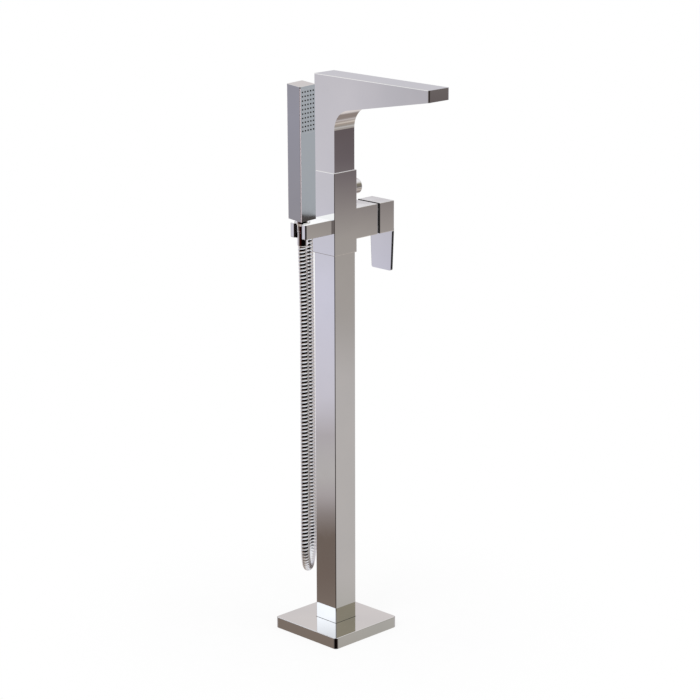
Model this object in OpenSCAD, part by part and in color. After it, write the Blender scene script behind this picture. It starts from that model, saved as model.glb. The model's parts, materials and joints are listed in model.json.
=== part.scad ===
// Floor standing bath filler: a square column on a base plate, a mixer body with a side lever,
// a tapered fixed spout, and a hand shower on a ribbed hose that rests in a forked holder.
// Millimetres, +Z up. The origin is the centre of the base on the floor.
// +X is the way the spout points, +Y is the lever's side and -Y is the hand shower's side.

/* [Base] */
// Side of the square base cover
base_w = 155; // [145:1:190]
// Height of the base cover
base_h = 21; // [19:0.5:26]
// Wall of the base cover
base_wall = 2.5; // [1.5:0.1:2.8]
// Radius of the cover's upright corners
base_corner_r = 4; // [1:0.5:8]
// Side of the square floor flange under the cover
flange_w = 130; // [122:1:136]
// Thickness of the floor flange
flange_t = 10; // [8:0.5:10]
// Distance between the anchor holes of the flange
anchor_pitch = 100; // [86:1:104]
// Diameter of an anchor hole
anchor_d = 9; // [6:0.5:11]
// Height of the spigot that the column slides over
spigot_h = 45; // [25:1:80]

/* [Column] */
// Side of the square column, and of the spout's neck
col_w = 50; // [49:0.5:54]
// Wall of the column
col_wall = 2; // [1.5:0.1:2.5]
// Radius of the column's edges
col_edge_r = 1.8; // [0.8:0.1:2.4]
// Height of the joint between column and mixer body
col_top = 718; // [600:1:760]
// Outer diameter of a supply pipe
pipe_d = 12; // [10:0.5:13]
// Wall of a supply pipe
pipe_wall = 1; // [0.8:0.1:1.5]
// Distance of a supply pipe from the column's axis, along X and along Y
pipe_off = 8; // [7.8:0.1:8.1]
// Thread diameter of a union nut
union_thread_d = 16.66; // [15.5:0.02:17]

/* [Mixer body] */
// Side of the square mixer body and of its lever arm
body_w = 56; // [54.5:0.5:60]
// Height of the mixer body
body_h = 150; // [146:1:170]
// Radius of the body's edges
body_edge_r = 1; // [0.5:0.1:1.5]
// Height of the two arms' axis above the body's foot
arm_rise = 52; // [50:1:54]
// Reach of the lever arm's end from the column's axis
lever_arm_reach = 81.5; // [80.5:0.5:90]
// Height of the diverter's axis above the body's foot
diverter_rise = 113; // [110:1:118]

/* [Lever] */
// Gap between the lever arm and the lever's cap
lever_gap = 5.2; // [5.2:0.1:7]
// Depth of the lever's cap along its axis
cap_depth = 37.3; // [34:0.1:44]
// Length of the lever's blade below the cap
blade_len = 75; // [40:1:100]
// Thickness of the blade
blade_t = 5; // [3:0.5:7]
// Width of the blade at its tip
blade_tip_w = 48.5; // [30:0.5:53]
// Outer diameter of the cartridge
cartridge_d = 35; // [34.5:0.1:35.5]

/* [Diverter] */
// Diameter of the diverter's knob
knob_d = 27; // [22:0.5:32]
// Length of the diverter's knob
knob_len = 22; // [18:0.5:30]
// Travel of the diverter when its knob is pulled
diverter_stroke = 9; // [7:0.5:9]

/* [Spout] */
// Overall height of the filler
total_h = 1040; // [990:1:1100]
// Reach of the spout's end from the column's axis
spout_reach = 252.6; // [220:0.2:300]
// Height of the spout's end face
spout_tip_h = 21; // [20:0.5:26]
// Rise of the spout's underside toward its end, in degrees
spout_rise = 10.5; // [8:0.5:12]
// Radius of the fillet under the spout
spout_fillet_r = 40; // [25:1:50]
// Wall of the spout
spout_wall = 3; // [2:0.1:3]
// Radius of the upright edges at the spout's end
spout_tip_r = 3; // [1:0.5:5]
// Distance of the water outlet from the spout's end
outlet_setback = 25; // [20:0.5:40]

/* [Holder] */
// Width of the holder arm
holder_w = 38; // [36:0.5:44]
// Height of the holder arm
holder_h = 26; // [22:0.5:28]
// Reach of the holder arm's end from the column's axis
holder_reach = 91.4; // [90:0.2:96]
// Distance of the hand shower's axis from the column's axis
holder_centre = 80; // [79:0.5:82]
// Width of the fork's slot
slot_w = 22.6; // [22.2:0.1:24]
// Lean of the hand shower in its holder, in degrees
lean = 5; // [0:0.5:6]
// Turn of the hand shower about its own axis, in degrees
handset_turn = -3.5; // [-20:0.5:20]

/* [Hand shower] */
// Side of the square hand shower
handset_w = 35.5; // [34.5:0.5:37]
// Length of the hand shower
handset_len = 243; // [200:1:260]
// Wall of the hand shower's case
handset_wall = 2; // [1.5:0.1:2.4]
// Radius of the hand shower's edges
handset_edge_r = 1.5; // [0.6:0.1:2]
// Columns of spray nozzles
nozzle_cols = 5; // [2:1:5]
// Rows of spray nozzles
nozzle_rows = 10; // [4:1:12]
// Distance between nozzle columns
nozzle_col_pitch = 6.15; // [5:0.05:6.2]
// Distance between nozzle rows
nozzle_row_pitch = 7.66; // [5:0.02:8]
// Diameter of a nozzle tip
nozzle_d = 3; // [2:0.1:3.4]

/* [Hose] */
// Diameter over the hose's ribs
hose_d = 15.6; // [14.4:0.2:16]
// Depth of the groove between two ribs
rib_depth = 1.6; // [1:0.1:2]
// Number of ribs along the hose
rib_count = 192; // [100:1:200]
// Diameter of the hose's bore
hose_bore = 8; // [6:0.5:9]
// Distance of the hose's lower end from the column's axis
outlet_reach = 66; // [65.5:0.5:67]

/* [Hidden] */
$fn = 48;
eps = 0.01;
slip = 0.3;
fit = 0.05;
base_edge_r = 1.2;
col_inner = col_w - 2 * col_wall;
spigot_w = col_inner - 2 * slip;
spigot_wall = 4;
cover_roof = base_h - base_wall;
seal_t = 1.4;
seal_band = 4;
grub_d = 5;
grub_len = 6;
grub_socket = 1.6;
grub_z = flange_t + (cover_roof - seal_t - flange_t) / 2;
union_od = 21;
union_h = 16;
union_foot = 0.5;
union_thread_h = 7;
union_collar_h = 1.5;
union_relief = 0.5;
pipe_socket = 14;
body_spigot_h = 18;
waterway_d = 8;
o_ring_r = 0.85;

arm_z = col_top + arm_rise;
body_top = col_top + body_h;
diverter_z = col_top + diverter_rise;
face = body_w / 2;

cartridge_y = 34;
housing_h = 32;
housing_wall = 2.2;
housing_base = 5.8;
disc_t = 4;
housing_lip = 3;
rotor_neck_r = 11.7;
disc_slide_r = 11.5;
port_x = 7;
port_low = 8;
port_high = 9;
port_d = 7;
pivot_y = cartridge_y + 23;
ring_thread_r = 20;
ring_nut_h = 8;
stem_w = 8;
stem_end = lever_arm_reach + lever_gap + 17.5;
tongue_w = 6;
tongue_y = cartridge_y + housing_base + 2 * disc_t - 1.6;
pivot_pin_d = 3;
cap_y = lever_arm_reach + lever_gap;
cap_out = cap_y + cap_depth;
cap_wall = 3.5;
cap_boss_w = 18;
cap_pocket = cap_depth - blade_t;
cap_boss_back = 3.3;
blade_corner_r = 3;
lever_screw_y = cap_y + 11.5;
plug_d = 6;

chamber_r = 10.5;
chamber_end = -18;
bush_y = 14;
bush_flange_t = 3;
spindle_d = 6;
knob_y = face + bush_flange_t + 2;
land_y = -9.5;
land_w = 3;
feed_y = -3;
spout_port_y = 6;
hose_port_y = -13;
hose_way_x = -15;
spout_spigot_r = 15;
spout_spigot_h = 20;
spout_well_r = 10;

connector_h = 34;
connector_w = col_w - 2 * spout_wall - 0.4;
spout_pipe_r = 5.5;
spout_pipe_bore = 4.5;
spout_pipe_z = total_h - spout_wall - spout_pipe_r - 3.5;
spout_pipe_bend = (spout_pipe_z - body_top - connector_h + 8) / 3;
outlet_x = spout_reach - outlet_setback;
outlet_r = 13;
insert_r = 10.9;
insert_h = 6;
insert_rise = 2;
insert_washer_t = 1.4;

seat_h = holder_h / 2;
ring_od = 28;
ring_drop = 3;
ring_stand = 2.5;
nut_foot = -28;
nut_top = seat_h + 8.7;
nut_big_r = 12.2;
nut_mid_r = 10.2;
nut_small_r = 9.5;
nut_bore_r = 7.2;
thread_r = 10.4;
tail_r = 7;
tail_flange_r = 9.1;
tail_flange_h = 2.5;
washer_t = 2;
neck_foot = seat_h + 1;
handset_foot = nut_top + 0.3;
handset_top = handset_foot + handset_len;
handset_cap_t = 3;
handset_floor = 3;
plate_margin = 4.6;
nozzle_top_gap = 10.2;
nozzle_first = handset_top - nozzle_top_gap;
nozzle_last = nozzle_first - (nozzle_rows - 1) * nozzle_row_pitch;
plate_w = (nozzle_cols - 1) * nozzle_col_pitch + plate_margin;
plate_t = handset_wall;
mat_t = 1.9;
nozzle_proud = 0.5;
neck_top = handset_foot + 22;
neck_socket = 10;

elbow_w = 24;
elbow_z0 = arm_z - elbow_w / 2;
elbow_thread_h = 10;
hex_af = 24;
hex_foot = elbow_z0 - 19;
lower_flange_h = 2.5;
lower_nut_floor = 4.5;

// Route of the hose's centre line, from the cone nut's foot down and up again to the hex nut's foot
route = [
    [-1.7, -78.3, 742.1], [-2.3, -77.7, 733], [-2.8, -77.2, 724], [-2.8, -75.4, 695], [-2.2, -74.9, 655],
    [-1.6, -75.2, 600], [-1, -76, 540], [-0.6, -77.2, 470], [0, -78.4, 400], [0.5, -79.8, 330],
    [1, -81, 265], [1.5, -82.2, 210], [1.3, -82.2, 171], [-1.2, -79.4, 151.8], [-8.8, -70, 135.4],
    [-20, -56, 124.7], [-33.2, -39.8, 121], [-46.4, -23.6, 124.7], [-57.6, -9.8, 135.4], [-65.2, -0.6, 151.8],
    [-67.8, 2.4, 171], [-68, 2.8, 210], [-67.7, 2.6, 265], [-67.3, 2.2, 330], [-66.8, 1.8, 400],
    [-66.5, 1.2, 470], [-66.2, 0.8, 540], [-66, 0.4, 600], [-66, 0.1, 655], [-66, 0, 695],
    [-66, 0, 715], [-66, 0, 727], [-66, 0, 739]
];
route_steps = 8;
loop_normal = [0.78, 0.63, 0];
hose_sides = 8;
bore_rings = 64;

// Outline of a rectangle whose corners are arcs of a given radius
function round_rect(w, h, r, n = 3) = [
    for (q = [0:3])
        for (i = [0:n])
            let (a = 90 * q + 90 * i / n)
                let (sx = (q == 0 || q == 3) ? 1 : -1)
                    let (sy = q < 2 ? 1 : -1)
                        [sx * (w / 2 - r) + r * cos(a), sy * (h / 2 - r) + r * sin(a)]
];

function unit(v) = v / norm(v);

// A square or oblong bar along Z with rounded long edges
module bar(w, h, r, len) {
    linear_extrude(len) polygon(round_rect(w, h, r));
}

// A box, its centre at the origin, with all twelve edges rounded
module soft_box(wx, wy, wz, r) {
    intersection() {
        translate([0, 0, -wz / 2]) bar(wx, wy, r, wz);
        rotate([0, 90, 0]) translate([0, 0, -wx / 2]) bar(wz, wy, r, wx);
        rotate([90, 0, 0]) translate([0, 0, -wy / 2]) bar(wx, wz, r, wy);
    }
}

// Places its children so that their +Z runs along +Y, from the point given
module along_y(x, y, z) {
    translate([x, y, z]) rotate([-90, 0, 0]) children();
}

// Places its children so that their +Z runs along +X, from the point given
module along_x(x, y, z) {
    translate([x, y, z]) rotate([0, 90, 0]) children();
}

module ring(r_out, r_in, h) {
    difference() {
        cylinder(r = r_out, h = h);
        translate([0, 0, -1]) cylinder(r = r_in, h = h + 2);
    }
}

// A rubber ring of round section, its centre circle of radius r in the XY plane
module o_ring(r) {
    rotate_extrude() translate([r, 0]) circle(r = o_ring_r, $fn = 20);
}

// A headless screw with a hexagon socket in its top
module grub_screw(d, len) {
    difference() {
        cylinder(d = d, h = len);
        translate([0, 0, len - grub_socket]) cylinder(d = d / 2, h = grub_socket + 1, $fn = 6);
    }
}

// The hand shower's own frame: its axis leans, and passes through the middle of the fork.
// Heights in it count from the holder arm's axis.
module in_holder() {
    translate([0, -holder_centre, arm_z]) rotate(a = lean, v = [1, 1, 0]) children();
}

module in_handset() {
    in_holder() rotate([0, 0, handset_turn]) children();
}

// Base and column

module base_cover() {
    color("silver")
    difference() {
        intersection() {
            bar(base_w, base_w, base_corner_r, base_h);
            rotate([0, 90, 0]) translate([0, 0, -base_w / 2])
                bar(2 * base_h, base_w, base_edge_r, base_w);
            rotate([90, 0, 0]) translate([0, 0, -base_w / 2])
                bar(base_w, 2 * base_h, base_edge_r, base_w);
        }
        translate([0, 0, -1])
            bar(base_w - 2 * base_wall, base_w - 2 * base_wall, max(base_corner_r - base_wall, 0.5), cover_roof + 1);
        translate([0, 0, -1]) bar(col_w + 2 * slip, col_w + 2 * slip, col_edge_r, base_h + 2);
    }
}

module cover_seal() {
    color("dimgray")
    translate([0, 0, cover_roof - seal_t])
    difference() {
        bar(col_w + 2 * seal_band, col_w + 2 * seal_band, 2, seal_t);
        translate([0, 0, -1]) bar(col_w + 2 * fit, col_w + 2 * fit, col_edge_r, seal_t + 2);
    }
}

module floor_flange() {
    color("slategray")
    difference() {
        union() {
            bar(flange_w, flange_w, 6, flange_t);
            bar(spigot_w, spigot_w, col_edge_r, flange_t + spigot_h);
        }
        translate([0, 0, -1])
            bar(spigot_w - 2 * spigot_wall, spigot_w - 2 * spigot_wall, 1, flange_t + spigot_h + 2);
        for (sx = [-1, 1])
            for (sy = [-1, 1])
                translate([sx * anchor_pitch / 2, sy * anchor_pitch / 2, -1]) cylinder(d = anchor_d, h = flange_t + 2);
        for (a = [0:90:270])
            rotate([0, 0, a]) along_x(spigot_w / 2 - spigot_wall - 1, 0, grub_z)
                cylinder(r = grub_d / 2 + fit, h = spigot_wall + 2);
    }
}

module column_screws() {
    color("dimgray")
    for (a = [0:90:270])
        rotate([0, 0, a]) along_x(col_w / 2 - slip - grub_len, 0, grub_z) grub_screw(grub_d, grub_len);
}

module column_tube() {
    color("gainsboro")
    difference() {
        translate([0, 0, flange_t]) bar(col_w, col_w, col_edge_r, col_top - flange_t);
        translate([0, 0, flange_t - 1])
            bar(col_inner, col_inner, max(col_edge_r - col_wall, 0.5), col_top - flange_t + 2);
        for (a = [0:90:270])
            rotate([0, 0, a]) along_x(col_w / 2 - col_wall - 1, 0, grub_z)
                cylinder(r = grub_d / 2 + slip / 2, h = col_wall + 2);
        along_x(-col_w / 2 - 1, 0, col_top - body_spigot_h / 2)
            cylinder(r = grub_d / 2 + slip / 2, h = col_wall + 2);
    }
}

// Side of the column's axis on which a pipe stands: -1 for hot, 1 for cold
module supply_pipe(side) {
    z0 = union_foot + union_thread_h + union_collar_h;
    translate([side * pipe_off, side * pipe_off, 0])
    difference() {
        union() {
            translate([0, 0, z0]) cylinder(d = pipe_d, h = col_top - body_spigot_h + pipe_socket - slip - z0);
            translate([0, 0, z0]) cylinder(d = union_thread_d - 0.4, h = union_collar_h);
        }
        translate([0, 0, z0 - 1]) cylinder(d = pipe_d - 2 * pipe_wall, h = col_top);
    }
}

module hot_pipe() {
    color("silver") supply_pipe(-1);
}

module cold_pipe() {
    color("silver") supply_pipe(1);
}

module union_nut(side) {
    translate([side * pipe_off, side * pipe_off, union_foot])
    difference() {
        cylinder(d = union_od, h = union_h);
        translate([0, 0, -1]) cylinder(d = union_thread_d, h = union_thread_h + 1);
        translate([0, 0, union_thread_h - eps])
            cylinder(r = union_thread_d / 2 + union_relief, h = 2 * union_collar_h + fit + eps);
        cylinder(r = pipe_d / 2 + fit, h = union_h + 1);
    }
}

module hot_union_nut() {
    color("goldenrod") union_nut(-1);
}

module cold_union_nut() {
    color("goldenrod") union_nut(1);
}

module union_washers() {
    color("dimgray")
    for (side = [-1, 1])
        translate([side * pipe_off, side * pipe_off, union_foot + union_thread_h])
            ring(union_thread_d / 2 - 0.2, pipe_d / 2 - pipe_wall, union_collar_h);
}

// Mixer body

// A waterway drilled along Z
module drill_z(x, y, z0, z1, d) {
    translate([x, y, z0]) cylinder(d = d, h = z1 - z0);
}

module drill_y(x, z, y0, y1, d) {
    along_y(x, y0, z) cylinder(d = d, h = y1 - y0);
}

module drill_x(y, z, x0, x1, d) {
    along_x(x0, y, z) cylinder(d = d, h = x1 - x0);
}

module supply_ways() {
    for (side = [-1, 1]) {
        drill_z(side * pipe_off, side * pipe_off, col_top - body_spigot_h - 1,
            col_top - body_spigot_h + pipe_socket, pipe_d + 2 * fit);
        drill_z(side * pipe_off, side * pipe_off, col_top - body_spigot_h, arm_z - port_low, waterway_d);
        drill_y(side * port_x, arm_z - port_low, side * pipe_off, cartridge_y + 1, port_d);
        translate([side * pipe_off, side * pipe_off, col_top - body_spigot_h + pipe_socket / 2 - 1.2])
            cylinder(r = pipe_d / 2 + 2 * o_ring_r + 2 * fit, h = 2.4);
    }
}

module mixed_ways() {
    drill_y(0, arm_z + port_high, feed_y, cartridge_y + 1, port_d);
    drill_z(0, feed_y, arm_z + port_high, diverter_z, port_d);
    drill_z(0, spout_port_y, diverter_z, body_top - 10, port_d);
    drill_z(0, 0, body_top - 12, body_top + spout_spigot_h + 1, 2 * spout_well_r);
    drill_x(hose_port_y, diverter_z, hose_way_x, 0, port_d);
    drill_z(hose_way_x, hose_port_y, arm_z, diverter_z, port_d);
    drill_y(hose_way_x, arm_z, hose_port_y, 0, port_d);
    drill_x(0, arm_z, -face, hose_way_x, port_d);
}

module body_casting() {
    color("gainsboro")
    difference() {
        union() {
            translate([0, 0, col_top + body_h / 2]) soft_box(body_w, body_w, body_h, body_edge_r);
            translate([0, lever_arm_reach / 2, arm_z]) soft_box(body_w, lever_arm_reach, body_w, body_edge_r);
            translate([0, 0, col_top - body_spigot_h]) bar(spigot_w, spigot_w, col_edge_r, body_spigot_h + 5);
            translate([0, 0, body_top - 5]) cylinder(r = spout_spigot_r, h = spout_spigot_h + 5);
        }
        supply_ways();
        mixed_ways();
        drill_y(0, arm_z, cartridge_y, lever_arm_reach + 1, cartridge_d + 0.2);
        drill_y(0, arm_z, cartridge_y + housing_h, lever_arm_reach + 1, 2 * (ring_thread_r + fit));
        drill_y(0, diverter_z, chamber_end, face + 1, 2 * chamber_r);
        drill_y(0, arm_z, -face - 1, -face + 14, 8 + 2 * fit);
        drill_x(0, arm_z, -face - 1, -face + 10, 16 + 4 * fit);
        drill_x(0, col_top - body_spigot_h / 2, -spigot_w / 2 - 1, -spigot_w / 2 + 5, grub_d + 2 * fit);
        for (z = spout_ring_heights())
            translate([0, 0, z - 1.2])
                ring(spout_spigot_r + 1, spout_spigot_r + 0.1 - 2 * (o_ring_r + fit), 2.4);
    }
}

function spout_ring_heights() = [body_top + 6, body_top + 14];

module pipe_o_rings() {
    color("black")
    for (side = [-1, 1])
        translate([side * pipe_off, side * pipe_off, col_top - body_spigot_h + pipe_socket / 2])
            o_ring(pipe_d / 2 + o_ring_r + fit);
}

module body_screw() {
    color("dimgray")
    along_x(-col_w / 2 + slip, 0, col_top - body_spigot_h / 2)
        translate([0, 0, grub_len]) mirror([0, 0, 1]) grub_screw(grub_d, grub_len);
}

// Hand shower holder

module holder_arm() {
    len = holder_reach - face;
    color("gainsboro")
    difference() {
        translate([0, -face - len / 2, arm_z]) soft_box(holder_w, len, holder_h, body_edge_r);
        translate([-slot_w / 2, -holder_reach - 1, arm_z - holder_h])
            cube([slot_w, holder_reach - holder_centre + 1.5, 2 * holder_h]);
        translate([0, -holder_centre + 0.5, arm_z - holder_h]) cylinder(d = slot_w, h = 2 * holder_h);
        translate([0, -holder_centre, arm_z + seat_h - ring_drop]) cylinder(r = ring_od / 2 + fit, h = holder_h);
        drill_y(0, arm_z, -face - 20, -face + 1, 8 + 2 * fit);
    }
}

module arm_stud() {
    color("darkgray") drill_y(0, arm_z, -face - 19, -face + 13, 8);
}

// Outside of the cone nut's seat, let out by a clearance
module nut_cone(clear) {
    rotate_extrude()
    polygon([
        [0, seat_h - 5], [nut_mid_r + clear, seat_h - 5], [nut_mid_r + clear, seat_h - 3],
        [nut_big_r + clear, seat_h + 2], [nut_big_r + clear, seat_h + 6], [0, seat_h + 6]
    ]);
}

module holder_ring() {
    color("whitesmoke")
    difference() {
        translate([0, -holder_centre, arm_z + seat_h - ring_drop]) cylinder(d = ring_od, h = ring_drop + ring_stand);
        in_holder() nut_cone(slip);
        translate([-slot_w / 2, -holder_centre - ring_od, arm_z]) cube([slot_w, ring_od, holder_h]);
    }
}

module hose_outlet() {
    x_end = -outlet_reach - elbow_w / 2;
    color("gainsboro")
    difference() {
        union() {
            translate([(x_end - face) / 2, 0, arm_z]) soft_box(-face - x_end, elbow_w, elbow_w, body_edge_r);
            drill_x(0, arm_z, -face - 3, -face + 9.5, 16);
            drill_z(-outlet_reach, 0, elbow_z0 - elbow_thread_h, elbow_z0 + 3, 2 * thread_r);
        }
        drill_x(0, arm_z, -outlet_reach, -face + 10, port_d + 2);
        drill_z(-outlet_reach, 0, elbow_z0 - elbow_thread_h - 1, arm_z, port_d + 2);
        drill_z(-outlet_reach, 0, elbow_z0 - elbow_thread_h - 1, elbow_z0 + 4, 14.2);
        along_x(-face + 4 - 1.2, 0, arm_z) ring(9, 8.1 - 2 * (o_ring_r + fit), 2.4);
    }
}

module outlet_o_ring() {
    color("black") along_x(-face + 4, 0, arm_z) o_ring(8.1 - o_ring_r - fit);
}

module check_valve() {
    color("white")
    translate([-outlet_reach, 0, elbow_z0 - elbow_thread_h + 2]) ring(7, 3, 11.5);
}

// Cartridge

module ports(d, h) {
    for (side = [-1, 1])
        translate([side * port_x, port_low, 0]) cylinder(d = d, h = h);
    translate([0, -port_high, 0]) cylinder(d = d, h = h);
}

module cartridge_housing() {
    groove_r = port_d / 2 + 2 * o_ring_r + 3 * fit;
    color("ivory")
    along_y(0, cartridge_y, arm_z)
    difference() {
        cylinder(d = cartridge_d, h = housing_h);
        translate([0, 0, -1]) ports(port_d, housing_base + 2);
        translate([0, 0, -1]) ports(2 * groove_r, 1 + 2 * o_ring_r + fit);
        translate([0, 0, housing_base])
            cylinder(r = cartridge_d / 2 - housing_wall, h = housing_h - housing_base - housing_lip);
        translate([0, 0, housing_base]) cylinder(r = rotor_neck_r + slip, h = housing_h);
    }
}

module port_seals() {
    color("black")
    along_y(0, cartridge_y + o_ring_r + fit, arm_z) {
        for (side = [-1, 1])
            translate([side * port_x, port_low, 0]) o_ring(port_d / 2 + o_ring_r + fit);
        translate([0, -port_high, 0]) o_ring(port_d / 2 + o_ring_r + fit);
    }
}

module fixed_disc() {
    color("whitesmoke")
    along_y(0, cartridge_y + housing_base, arm_z)
    difference() {
        cylinder(r = cartridge_d / 2 - housing_wall - fit, h = disc_t);
        translate([0, 0, -1]) ports(port_d - 1, disc_t + 2);
    }
}

module sliding_disc() {
    color("lightgray")
    along_y(0, cartridge_y + housing_base + disc_t, arm_z)
    difference() {
        cylinder(r = disc_slide_r, h = disc_t);
        translate([0, 0, -1]) cylinder(r = 7, h = 2);
        translate([0, 0, disc_t]) cube([tongue_w + 2 * slip, tongue_w + 2 * slip, 4.8], center = true);
    }
}

module cartridge_rotor() {
    y0 = cartridge_y + housing_base + 2 * disc_t + slip;
    y1 = cartridge_y + housing_h - housing_lip - slip;
    color("khaki")
    difference() {
        union() {
            along_y(0, y0, arm_z) cylinder(r = cartridge_d / 2 - housing_wall - slip, h = y1 - y0);
            along_y(0, y0, arm_z) cylinder(r = rotor_neck_r, h = cartridge_y + housing_h + 2 - y0);
        }
        translate([-stem_w / 2 - slip, y0 - 1, arm_z - 9]) cube([stem_w + 2 * slip, housing_h + 10, 18]);
        along_x(-housing_h, pivot_y, arm_z) cylinder(r = pivot_pin_d / 2 + fit, h = 2 * housing_h);
    }
}

module stem_pin() {
    color("silver") along_x(-13, pivot_y, arm_z) cylinder(d = pivot_pin_d, h = 26);
}

module cartridge_stem() {
    color("goldenrod")
    difference() {
        union() {
            translate([-stem_w / 2, pivot_y - 5, arm_z - stem_w / 2]) cube([stem_w, stem_end - pivot_y + 5, stem_w]);
            translate([-tongue_w / 2, tongue_y, arm_z - tongue_w / 2]) cube([tongue_w, pivot_y - tongue_y, tongue_w]);
        }
        along_x(-stem_w, pivot_y, arm_z) cylinder(r = pivot_pin_d / 2 + fit, h = 2 * stem_w);
    }
}

module cartridge_nut() {
    y0 = cartridge_y + housing_h + fit;
    color("darkgoldenrod")
    difference() {
        along_y(0, y0, arm_z) ring(ring_thread_r, 13, ring_nut_h);
        for (a = [0:60:300])
            translate([0, y0 + ring_nut_h - 2, arm_z]) rotate([0, a, 0]) translate([ring_thread_r - 4, 0, -2]) cube([6, 4, 4]);
    }
}

// Lever

module lever_handle() {
    color("gainsboro")
    difference() {
        union() {
            difference() {
                translate([0, cap_y + cap_depth / 2, arm_z]) soft_box(body_w, cap_depth, body_w, body_edge_r);
                translate([0, cap_y + cap_pocket / 2 - 1, arm_z])
                    cube([body_w - 2 * cap_wall, cap_pocket + 2, body_w - 2 * cap_wall], center = true);
            }
            translate([-cap_boss_w / 2, cap_y + cap_boss_back, arm_z - cap_boss_w / 2])
                cube([cap_boss_w, cap_pocket, cap_boss_w]);
            blade();
        }
        translate([-stem_w / 2 - fit, cap_y, arm_z - stem_w / 2 - fit])
            cube([stem_w + 2 * fit, stem_end - cap_y + slip, stem_w + 2 * fit]);
        drill_z(0, lever_screw_y, arm_z - cap_boss_w, arm_z, grub_d + 2 * fit);
        drill_z(0, lever_screw_y, arm_z - face - 1, arm_z - face + cap_wall + 1, plug_d + 2 * fit);
    }
}

// The blade hangs from the cap's outer side, tapers to its tip and has rounded lower corners
module blade() {
    r = blade_corner_r;
    low = -face - blade_len;
    half = blade_tip_w / 2;
    translate([0, cap_out, arm_z]) rotate([90, 0, 0])
    linear_extrude(blade_t)
    polygon(concat(
        [[-face + 0.3, -face + 5], [-face + 0.3, -face]],
        [for (a = [180:15:270]) [-half + r + r * cos(a), low + r + r * sin(a)]],
        [for (a = [270:15:360]) [half - r + r * cos(a), low + r + r * sin(a)]],
        [[face - 0.3, -face], [face - 0.3, -face + 5]]
    ));
}

module lever_screw() {
    color("dimgray")
    translate([0, lever_screw_y, arm_z - stem_w / 2 - fit]) mirror([0, 0, 1])
        grub_screw(grub_d, (cap_boss_w - stem_w) / 2 - fit);
}

module lever_plug() {
    color("gainsboro")
    translate([0, lever_screw_y, arm_z - face + 0.1]) cylinder(d = plug_d, h = cap_wall);
}

// Diverter

module diverter_bush() {
    color("goldenrod")
    difference() {
        union() {
            along_y(0, bush_y, diverter_z) cylinder(r = chamber_r - fit, h = face - bush_y);
            along_y(0, face, diverter_z) cylinder(r = chamber_r + 1.5, h = bush_flange_t);
        }
        along_y(0, bush_y - 1, diverter_z) cylinder(r = spindle_d / 2 + fit, h = face);
    }
}

module diverter_spindle() {
    color("silver") along_y(0, land_y - 3, diverter_z) cylinder(d = spindle_d, h = knob_y + 12 - land_y + 3);
}

module diverter_piston() {
    color("goldenrod")
    along_y(0, land_y, diverter_z)
    difference() {
        union() {
            translate([0, 0, -2]) cylinder(r = 6, h = land_w + 4);
            cylinder(r = chamber_r - 0.6, h = land_w);
        }
        translate([0, 0, land_w / 2 - o_ring_r - fit])
            ring(chamber_r, chamber_r - 2 * (o_ring_r + fit), 2 * (o_ring_r + fit));
        translate([0, 0, -5]) cylinder(r = spindle_d / 2 + fit, h = 20);
    }
}

module piston_seal() {
    color("black") along_y(0, land_y + land_w / 2, diverter_z) o_ring(chamber_r - o_ring_r - fit);
}

// The knob is a turned piece: a narrow foot, a flared skirt, a straight grip and a domed end
module diverter_knob() {
    r = knob_d / 2;
    dome = 5;
    dome_r = (r * r + dome * dome) / (2 * dome);
    color("gainsboro")
    along_y(0, knob_y, diverter_z)
    difference() {
        rotate_extrude()
        polygon(concat(
            [[0, 0], [r - 4, 0], [r - 3.4, 0.6], [r - 3.4, 4], [r - 0.8, 6.4], [r, 7.4], [r, knob_len - dome - 0.8]],
            [for (a = [asin((r - 0.6) / dome_r):-asin((r - 0.6) / dome_r) / 10:0])
                [dome_r * sin(a), knob_len - dome_r + dome_r * cos(a)]]
        ));
        translate([0, 0, -1]) cylinder(r = spindle_d / 2 + fit, h = 13.3);
    }
}

// Spout

// Side outline of the spout in X and Z, drawn in by a distance d: neck, fillet, rising underside, end and top.
// The fillet is an arc about a point outside the metal, so each inner outline keeps that centre.
function spout_outline(d, z_foot) =
    let (s = spout_rise)
    let (r = spout_fillet_r)
    let (cx = col_w / 2 + r)
    let (tip_z = total_h - spout_tip_h)
    let (cz = tip_z + (-r + sin(s) * (cx - spout_reach)) / cos(s))
    let (tip_x = spout_reach - d)
    concat(
        [[-col_w / 2 + d, z_foot], [col_w / 2 - d, z_foot]],
        [for (i = [0:20])
            let (a = 180 - i * (90 - s) / 20) [cx + (r + d) * cos(a), cz + (r + d) * sin(a)]],
        [[tip_x, tip_z + (d + sin(s) * (tip_x - spout_reach)) / cos(s)], [tip_x, total_h - d], [-col_w / 2 + d, total_h - d]]
    );

// Spout outline carried across the width of the neck
module spout_slab(d, z_foot) {
    w = col_w - 2 * d;
    translate([0, w / 2, 0]) rotate([90, 0, 0]) linear_extrude(w) polygon(spout_outline(d, z_foot));
}

// Plan of the spout: small radii at the back and larger ones at its end
function spout_plan() =
    let (back = -col_w / 2)
    let (half = col_w / 2)
    let (e = col_edge_r)
    let (t = spout_tip_r)
    concat(
        [for (a = [0:30:90]) [spout_reach - t + t * cos(a), half - t + t * sin(a)]],
        [for (a = [90:30:180]) [back + e + e * cos(a), half - e + e * sin(a)]],
        [for (a = [180:30:270]) [back + e + e * cos(a), -half + e + e * sin(a)]],
        [for (a = [270:30:360]) [spout_reach - t + t * cos(a), -half + t + t * sin(a)]]
    );

module spout_form() {
    tall = 2 * (total_h - body_top);
    intersection() {
        spout_slab(0, body_top);
        translate([0, 0, body_top]) linear_extrude(tall) polygon(spout_plan());
        along_x(-col_w / 2 - 1, 0, body_top) rotate([0, 0, 90])
            bar(col_w, tall, body_edge_r, spout_reach + col_w);
    }
}

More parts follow.
